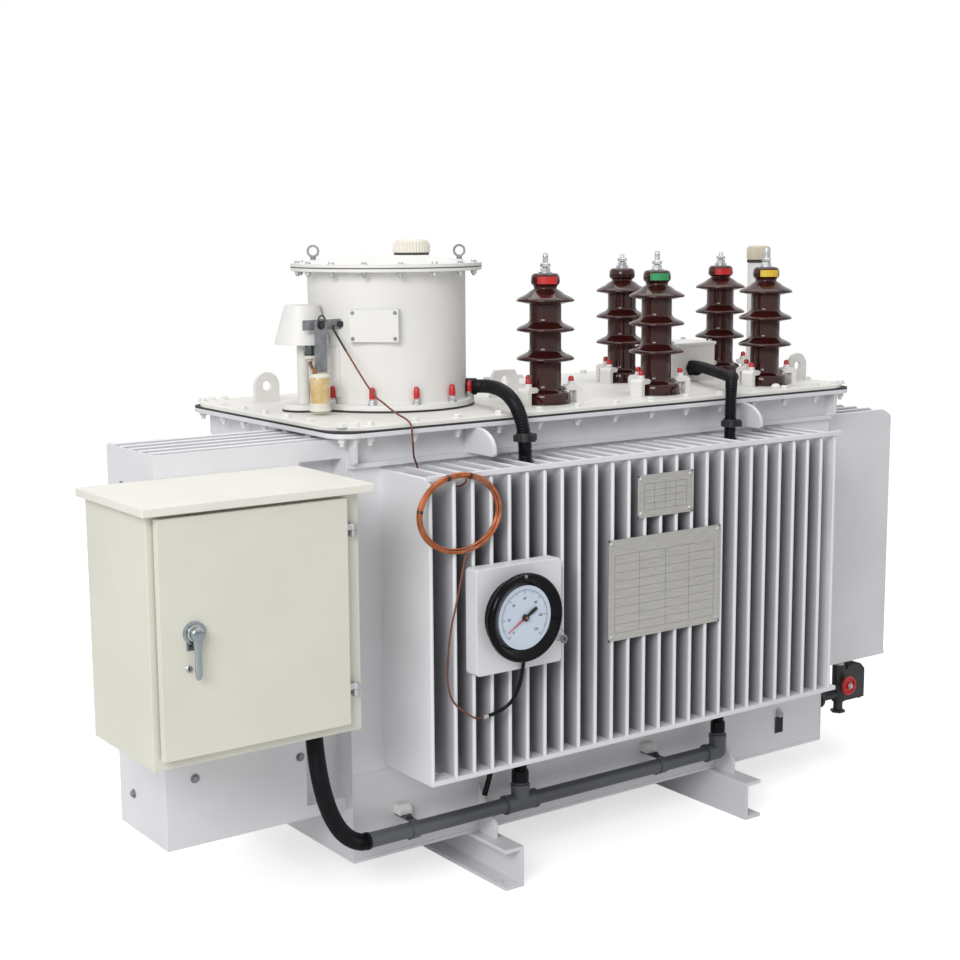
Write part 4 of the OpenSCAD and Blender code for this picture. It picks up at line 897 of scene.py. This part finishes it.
bands = Shape()
TAP_BAND_Z, BOX_BAND_Z = 957, 943
for x, z, r in ((TEE_X - 2, TAP_BAND_Z, TAP_HOSE_R), (ELBOW_X + 3, BOX_BAND_Z, BOX_HOSE_R)):
    band = at((x, HOSE_TOP_Y, z))
    bands.lathe(((r - 0.5, -9), (r + 2.6, -9), (r + 2.6, 9), (r - 0.5, 9)), band, 32, ring=True)
    for s in (-1, 1):
        bands.box((s * (r + 6) - 6, -3, -7), (s * (r + 6) + 6, 6, 7), band)
        bands.disc(at((x + s * (r + 7), HOSE_TOP_Y - 3, z), FRONT), 5, 0, 5, 6)
    bands.box((-r - 10, 6, -7), (r + 10, 11, 7), band).box((-3, 10, -6), (3, 36, 8), band)
bands.piece("hose_clamps", IRON, bevel=0.6)

saddle_bolts, saddle_blocks = Shape(), Shape()
TURN_SIDE = Matrix(((0, 0, 1, 0), (-1, 0, 0, 0), (0, 1, 0, 0), (0, 0, 0, 1)))
for x in (gap_x(0), gap_x(15)):
    saddle_blocks.prism(((0, 0), (26, 0), (26, 10), (18, 20), (0, 20)), -15, 15,
                        Matrix.Translation((x + 4, TY0, CONDUIT_Z + 20)) @ TURN_SIDE)
    saddle_bolts.bolt(at((x, CONDUIT_Y + 16, CONDUIT_Z + 19)), 6, 6)
    saddle_bolts.bolt(at((x, CONDUIT_Y + 16, CONDUIT_Z - 19), DOWN), 6, 6)
saddle_bolts.piece("saddle_bolts", IRON, bevel=0.5)
saddle_blocks.piece("saddle_blocks", WARM, bevel=0.8, slot="light_enamel")
stub = smooth([(TEE_X - 50, -312, 300), (TEE_X - 54, -316, 258), (TEE_X - 60, -318, 222),
               (TEE_X - 74, -318, 181)], 5)
Shape().tube(stub, 6.0, 14).piece("cable_stub", HOSE)
Shape().tube([stub[-1], stub[-1] - Vector((1, 0, 7))], [4.5, 2.5], 8).piece("cable_cores", IVORY)

# ---- gauge

case_low, case_high, case = span_of("gauge_case")
gx, gz, plate_y = case.x, case.z, case_high.y
GAUGE_R, GAUGE_D = (case_high.x - case_low.x) / 2, case_high.y - case_low.y
DIAL_R, DIAL_Z = GAUGE_R - 25, GAUGE_D - 12
on_plate = facing((gx, plate_y, gz))
on_dial = at(on_plate @ up(DIAL_Z), FRONT)
Shape().lathe([(GAUGE_R - inset, z) for inset, z in (
    (14, 0), (12, 20), (3, 23), (0, 27), (0, GAUGE_D - 7), (2, GAUGE_D - 2), (6, GAUGE_D),
    (10, GAUGE_D - 1), (13, GAUGE_D - 3.5), (24, DIAL_Z + 2.5), (25.5, DIAL_Z))], on_plate, 96
              ).piece("gauge_bezel", CASE, replaces="gauge_case", sharp=50)
Shape().disc(on_plate, DIAL_R, DIAL_Z - 1, DIAL_Z + 1, 72).piece("gauge_dial", DIAL)

SCALE_R = 56.0
INK_Z = (DIAL_Z + 1, DIAL_Z + 1.3)


def scale_angle(share):
    """Radians at a share of the dial's scale, which runs clockwise from 225 to -45 degrees."""
    return radians(225 - 270 * share)


ink = Shape()
for k in range(61):
    long = 8 if k % 10 == 0 else (5 if k % 5 == 0 else 3)
    wide = 0.9 if k % 5 == 0 else 0.4
    ink.box((SCALE_R - long, -wide / 2, INK_Z[0]), (SCALE_R, wide / 2, INK_Z[1]),
            on_plate @ Matrix.Rotation(scale_angle(k / 60), 4, "Z"))
arc = [scale_angle(k / 72) for k in range(73)]
ring = [(r * cos(a), r * sin(a)) for r, run in ((SCALE_R + 0.4, arc), (SCALE_R, arc[::-1]))
        for a in run]
ink.prism(ring, *INK_Z, on_plate)
ink.piece("gauge_scale", INK, sharp=30)


NUMBER_R, NUMBER_SIZE = 39, 7.5


def dial_number(value, a):
    """A plain number on the dial at angle a, as a mesh."""
    words = bpy.data.curves.new("number_%d" % value, "FONT")
    words.body = str(value)
    words.size, words.extrude, words.resolution_u = NUMBER_SIZE * MM, 0.15 * MM, 3
    words.align_x, words.align_y = "CENTER", "CENTER"
    text = add_object("number_%d" % value, words)
    mesh = bpy.data.meshes.new_from_object(text.evaluated_get(bpy.context.evaluated_depsgraph_get()))
    mesh.transform(Matrix.Translation(Vector((cos(a), sin(a), 0)) * NUMBER_R * MM))
    turn = on_plate.copy()
    turn.translation = (on_plate @ up(DIAL_Z + 1.2)) * MM
    mesh.transform(turn)
    bpy.data.objects.remove(text)
    mesh.materials.clear()
    mesh.materials.append(INK)
    o = add_object("dial_number_%d" % value, mesh)
    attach(o, ROOT)


for k in range(7):
    dial_number(20 * k, scale_angle(k / 6))

needle = on_plate @ Matrix.Rotation(atan2(-32, -54), 4, "Z")
Shape().prism(((4, -1.5), (50, -0.4), (50, 0.4), (4, 1.5)), DIAL_Z + 3.2, DIAL_Z + 4.4, needle
              ).piece("gauge_needle", RED)
hand = Shape().prism(((-33, -3.2), (-20, -4), (0, -1.6), (0, 1.6), (-20, 4), (-33, 3.2)),
                     DIAL_Z + 3.2, DIAL_Z + 4.4, needle)
hand.lathe(((7, 1), (7, 6.5), (5, 7.5)), on_dial, 24).piece("gauge_pointer", INK)
Shape().lathe(((3.2, 5), (3.2, 9), (2, 10)), on_dial, 18).piece("gauge_pivot", BRASS)
screws = Shape().lathe(((3.6, -1.5), (3.6, 0), (2.4, 0.2)),
                       at(on_plate @ Vector((-4, GAUGE_R - 5, GAUGE_D)), FRONT), 12)
seal_at = Vector((gx + GAUGE_R + 26, plate_y - 10, gz - 66))
screws.tube([seal_at + Vector((14 * cos(a) - 14, 3 * sin(2 * a), 12 + 12 * sin(a)))
             for a in circle(28)], 0.9, 6, close=True)
screws.lathe(((9, -2), (9, 2), (7.5, 2.4), (7.5, 1.6), (4, 1.6), (4, -2)),
             at(seal_at, (0.2, -1, 0.1)), 24)
screws.piece("gauge_screws", GALVANISED)

# ---- lead, capillary and its coil

lead_from = Vector((gx + 14, plate_y - 10, gz - GAUGE_R + 12.6))
lead_end = Vector((gx - 53, TIP_Y - 6, box_of("gauge_plate")[0].z - 95))
lead = smooth([lead_from] + bezier(lead_from - up(6), lead_from - Vector((0, -10, 90)),
                                   lead_end + Vector((70, 0, 6)), lead_end + Vector((8, 0, 0)), 12)
              + [lead_end], 1.5)
Shape().tube(lead, [4.0 - (0.6 if i % 2 else 0) for i in range(len(lead))], 12
             ).piece("gauge_lead_sheath", HOSE, replaces="gauge_lead", sharp=60)
lead_nut = Shape().disc(at(lead_from, DOWN), 7.5, -2, 9, 6)
lead_nut.disc(at(lead_end + Vector((6, 0, 0)), LEFT), 5.2, 0, 12, 16)
lead_nut.piece("lead_nuts", ZINC, bevel=0.4)

coil_low, coil_high, coil = span_of("capillary_coil")
COIL_T = 12.0           # thickness of the wound coil
COIL_RX, COIL_RZ = (coil_high.x - coil_low.x - COIL_T) / 2, (coil_high.z - coil_low.z - COIL_T) / 2
coils = Shape()
for turn, (dr, dy) in enumerate(((3.5, 2.6), (0.6, -3.2), (-3.2, 3.0), (-3.8, -1.8), (3.7, -2.8))):
    path = []
    for a in circle(72):
        sway = 0.5 * sin(3 * a + turn * 1.7)
        path.append(Vector((coil.x + (COIL_RX + dr + sway) * cos(a),
                            coil.y + dy + 0.4 * cos(2 * a + turn),
                            coil.z + (COIL_RZ + dr - sway) * sin(a))))
    coils.tube(path, 2.0, 10, close=True)
coils.piece("capillary_turns", COPPER, replaces="capillary_coil", sharp=60)
coil_ties = Shape()
for dx, dz in ((-93, 12), (-28, 76), (26, 76)):
    a = atan2(dz / COIL_RZ, dx / COIL_RX)
    p = Vector((coil.x + COIL_RX * cos(a), coil.y, coil.z + COIL_RZ * sin(a)))
    along = Vector((-COIL_RX * sin(a), 0, COIL_RZ * cos(a))).normalized()
    coil_ties.tube([p - along * 3, p + along * 3], 6.6, 16)
coil_ties.piece("coil_ties", RUBBER)

EDGE_Y = TY0 - RIM_OUT
WIRE_X = gap_x(1)
hook = Vector((box_of("breather_bracket")[0].x + 71, -70.8, TOP_Z + 182))


def coil_rise(dx, grow):
    """Height of the coil's edge above its middle at dx, with the ellipse grown by grow."""
    return (COIL_RZ + grow) * sqrt(1 - (dx / (COIL_RX + grow)) ** 2)


over = [hook, hook + Vector((0, -5, -12)), hook + Vector((6, -130, -123)),
        hook + Vector((5, -186, -148))]
over += [Vector((WIRE_X - left, y, z)) for left, y, z in (
    (46, EDGE_Y + 34, TOP_Z + 16), (43, EDGE_Y + 10, TOP_Z + 9), (41, EDGE_Y - 6, TOP_Z),
    (40, EDGE_Y - 10, RIM_Z + 8), (38, EDGE_Y - 10, RIM_Z - 20), (28, EDGE_Y + 2, FIN_TOP + 24),
    (14, EDGE_Y + 14, FIN_TOP + 6), (8, EDGE_Y + 14, FIN_TOP - 10), (0, EDGE_Y, FIN_TOP - 22),
    (0, EDGE_Y - 60, FIN_TOP - 26), (0, TIP_Y + 20, FIN_TOP - 24), (0, coil.y + 3, FIN_TOP - 14),
    (0, coil.y, coil.z + coil_rise(WIRE_X - coil.x, -COIL_T / 2) - 2))]
down = Vector((coil.x + 16, coil.y, coil.z - coil_rise(16, COIL_T / 2) - 1))
under = [down + Vector(p) for p in ((0, 0, 0), (-6, 0, -15), (-22, 0, -85), (-40, 0, -155),
                                    (-48, 0, -230), (-44, 0, -275), (-28, 0, -305))]
under += [Vector((lead_end.x - 28, coil.y, lead_end.z + 3)), lead_end - Vector((8, 0, 0)),
          lead_end - Vector((0.3, 0, 0))]
over = smooth(over, 6)
Shape().tube(over[:14], 2.4, 10).piece("capillary_sleeve", RUBBER, sharp=60)
Shape().tube(over, 2.0, 10).tube(smooth(under, 6), 2.0, 10).piece(
    "capillary_line", RUST, replaces="capillary", sharp=60)

# ---- plates on the fins

plates_low, plates_high = box_of("plates")
plate_shape, lines, plate_screws = Shape(), Shape(), Shape()
face_y = plates_low.y
for dx, dz, wide, high, rows, head in ((0, 0, 322, 219, 9, 34), (80, 258, 158, 92, 4, 20)):
    x0, z0 = plates_low.x + dx, plates_low.z + dz
    x1, z1 = x0 + wide, z0 + high
    plate_shape.box((x0, face_y + 0.5, z0), (x1, plates_high.y, z1))
    for a, b, c, d in frame_strips(x0, z0, x1, z1, 4):
        plate_shape.box((a, face_y, b), (c, face_y + 0.8, d))
    for x in (x0 + 9, x1 - 9):
        for z in (z0 + 9, z1 - 9):
            plate_screws.lathe(((4.5, -0.8), (4.5, 0.6), (3, 2)), at((x, face_y, z), FRONT), 16)
    left, right, low, top = x0 + 18, x1 - 18, z0 + 16, z1 - head
    for k in range(rows + 1):
        z = low + (top - low) * k / rows
        lines.box((left, face_y + 0.3, z - 0.35), (right, face_y + 0.6, z + 0.35))
    for share in (0, 0.24, 0.5, 0.74, 1):
        x = left + (right - left) * share
        lines.box((x - 0.35, face_y + 0.3, low), (x + 0.35, face_y + 0.6, top))
plate_shape.piece("blank_plates", BRUSHED, bevel=0.3, replaces="plates")
lines.piece("plate_form_lines", ETCHED)
plate_screws.piece("plate_screws", ZINC)

# ---- drain valve, earth terminal

wheel_low, wheel_high, wheel = span_of("valve_wheel")
wheel_r = (wheel_high.x - wheel_low.x) / 2
on_wheel = at((wheel.x, wheel_low.y, wheel.z), BACK)
hand_wheel = Shape().lathe([(wheel_r - inset, z) for inset, z in (
    (5, 0), (1.5, 1), (0, 4), (0, 6.5), (2, 9.3), (6, 10), (7, 8), (7, 2))],
    on_wheel, 40, ring=True, flute=0.8)
hand_wheel.disc(on_wheel, wheel_r - 6.5, 4, 8.5)
hand_wheel.disc(on_wheel, 9, 1, 9.5, 24).disc(on_wheel, 5, 9, 52, 24)
hand_wheel.piece("hand_wheel", RED, WHEEL, replaces="valve_wheel")
wheel_nut = Shape().disc(on_wheel, 7.5, -0.5, 1.2, 24).disc(on_wheel, 6, -4.5, -0.2, 6)
wheel_nut.piece("hand_wheel_nut", ZINC, WHEEL, bevel=0.3)
VX, VY, VZ = TX1 + 108, TY0 + 38, 186.0
on_wall = at((TX1, VY, VZ), RIGHT)
valve_bits = Shape().lathe(((30, 2), (30, 12), (28, 13)), on_wall, 40).disc(on_wall, 26, 24, 33, 40)
for k in range(4):
    q = around((VY, VZ), 22, 45 + 90 * k)
    valve_bits.disc(at((TX1, q.x, q.y), RIGHT), 4.5, 12, 18, 6)
valve_bits.disc(at((VX, VY, VZ)), 19.5, -50, -44, 6)
for z in (245, 168):
    spot = at((VX + 78, VY, z), RIGHT)
    valve_bits.disc(spot, 9, -2, 1, 20).disc(spot, 6, 0.5, 5, 6)
valve_bits.piece("valve_flanges", IRON, bevel=0.6)
valve_top = box_of("drain_valve")[1].z
disc_cap = Shape().lathe(((13, -2), (13, 3), (11, 4.5)), at((VX, VY, valve_top - 0.2)), 32)
disc_cap.piece("valve_disc_cap", IVORY)

earth_low, _, earth = span_of("earth_terminal")
on_boss = at((earth.x, TY0, 190), FRONT)
earth_nut = Shape().disc(on_boss, 11, 6, 8, 24).disc(on_boss, 8.5, 7.5, 14, 6)
earth_nut.piece("earth_nut", ZINC, bevel=0.4)
Shape().box((earth.x - 13.5, TY0 - 3, earth_low.z + 0.5), (earth.x + 13.5, TY0 - 1, earth_low.z + 41)
            ).piece("earth_tag", INK, bevel=0.4)

# ---- control cabinet

body_y = cab_low.y
seal = Shape()
for a, b, c, d in frame_strips(door_low.x + 14, door_low.z + 9, door_high.x - 14, door_high.z - 9, 8):
    seal.box((a, body_y - 4.6, b), (c, body_y + 0.5, d))
seal.piece("door_seal", RUBBER, bevel=0.8)
trim = Shape().box((cab_low.x - 0.6, body_y + 1.5, cab_low.z - 0.6),
                   (cab_low.x + 1, body_y + 6, cab_high.z))
for x in (cab_low.x + 60, cab_high.x - 60):
    trim.disc(at((x, body_y + 130, cab_low.z), DOWN), 8, -0.4, 1.2, 18)
trim.piece("cabinet_trim", CREAM, bevel=0.4)

shroud_bolts = Shape()
shroud_x = left_low.x - 3
for p, way in (((-1013, SHROUD_Y, 340), FRONT), ((-781, SHROUD_Y, 337), FRONT),
               ((shroud_x, -116, 279), LEFT), ((shroud_x, -116, 900), LEFT)):
    shroud_bolts.bolt(at(p, way, 12), 6.5, 5, 1.6)
shroud_bolts.piece("shroud_bolts", DARK_STEEL, bevel=0.4)

_, handle_high, handle = span_of("door_handle")
hx, hz = handle.x, handle_high.z - 13
door_face = door_high.y - 15
face = door_face - 7.3
on_face, on_door = at((hx, face, hz), FRONT), at((hx, door_face, hz), FRONT)
lever = Shape().lathe(((12.2, 0.2), (13, 1.5), (13, 10), (11.5, 13), (8, 14)), on_face, 40)
LEVER = ((-4, 9.5, 3.5, 13.5), (-14, 8.6, 3.5, 13.2), (-30, 7.0, 4.5, 12.6), (-50, 6.6, 5.0, 12.2),
         (-66, 7.2, 5.0, 12.2), (-75, 6.4, 5.4, 11.6), (-80.5, 3.2, 6.6, 10.4))
lever.loops([[Vector((hx + half_wide * cos(a),
                      face - (near + far) / 2 - (far - near) / 2 * sin(a), hz + z))
              for a in circle(20)] for z, half_wide, near, far in LEVER])
lever.disc(on_face, 6.5, -18, 1, 24)
lever.piece("handle_lever", CHROME, HANDLE, replaces="door_handle", sharp=50)
rose = Shape().lathe(((20.8, -0.5), (20.8, 6.4), (20.1, 7.1), (15, 7.15), (13.6, 6.8), (13.6, 2)),
                     on_door, 44)
rose.box((-15, -30, 0), (15, -12, 2.2), facing((hx, door_face, hz)))
rose.piece("handle_rose", CHROME, DOOR, bevel=0.5)
LOCK = (hx - 11.5, door_face, 643)
Shape().lathe(((6.5, -0.5), (6.5, 2), (5.5, 3)), at(LOCK, FRONT), 30).piece("keyhole_cover", ZINC, DOOR)
Shape().box((-1.2, -3.5, 0), (1.2, 3.5, 3.3), facing(LOCK)).piece("keyhole", INK, DOOR)

low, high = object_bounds()
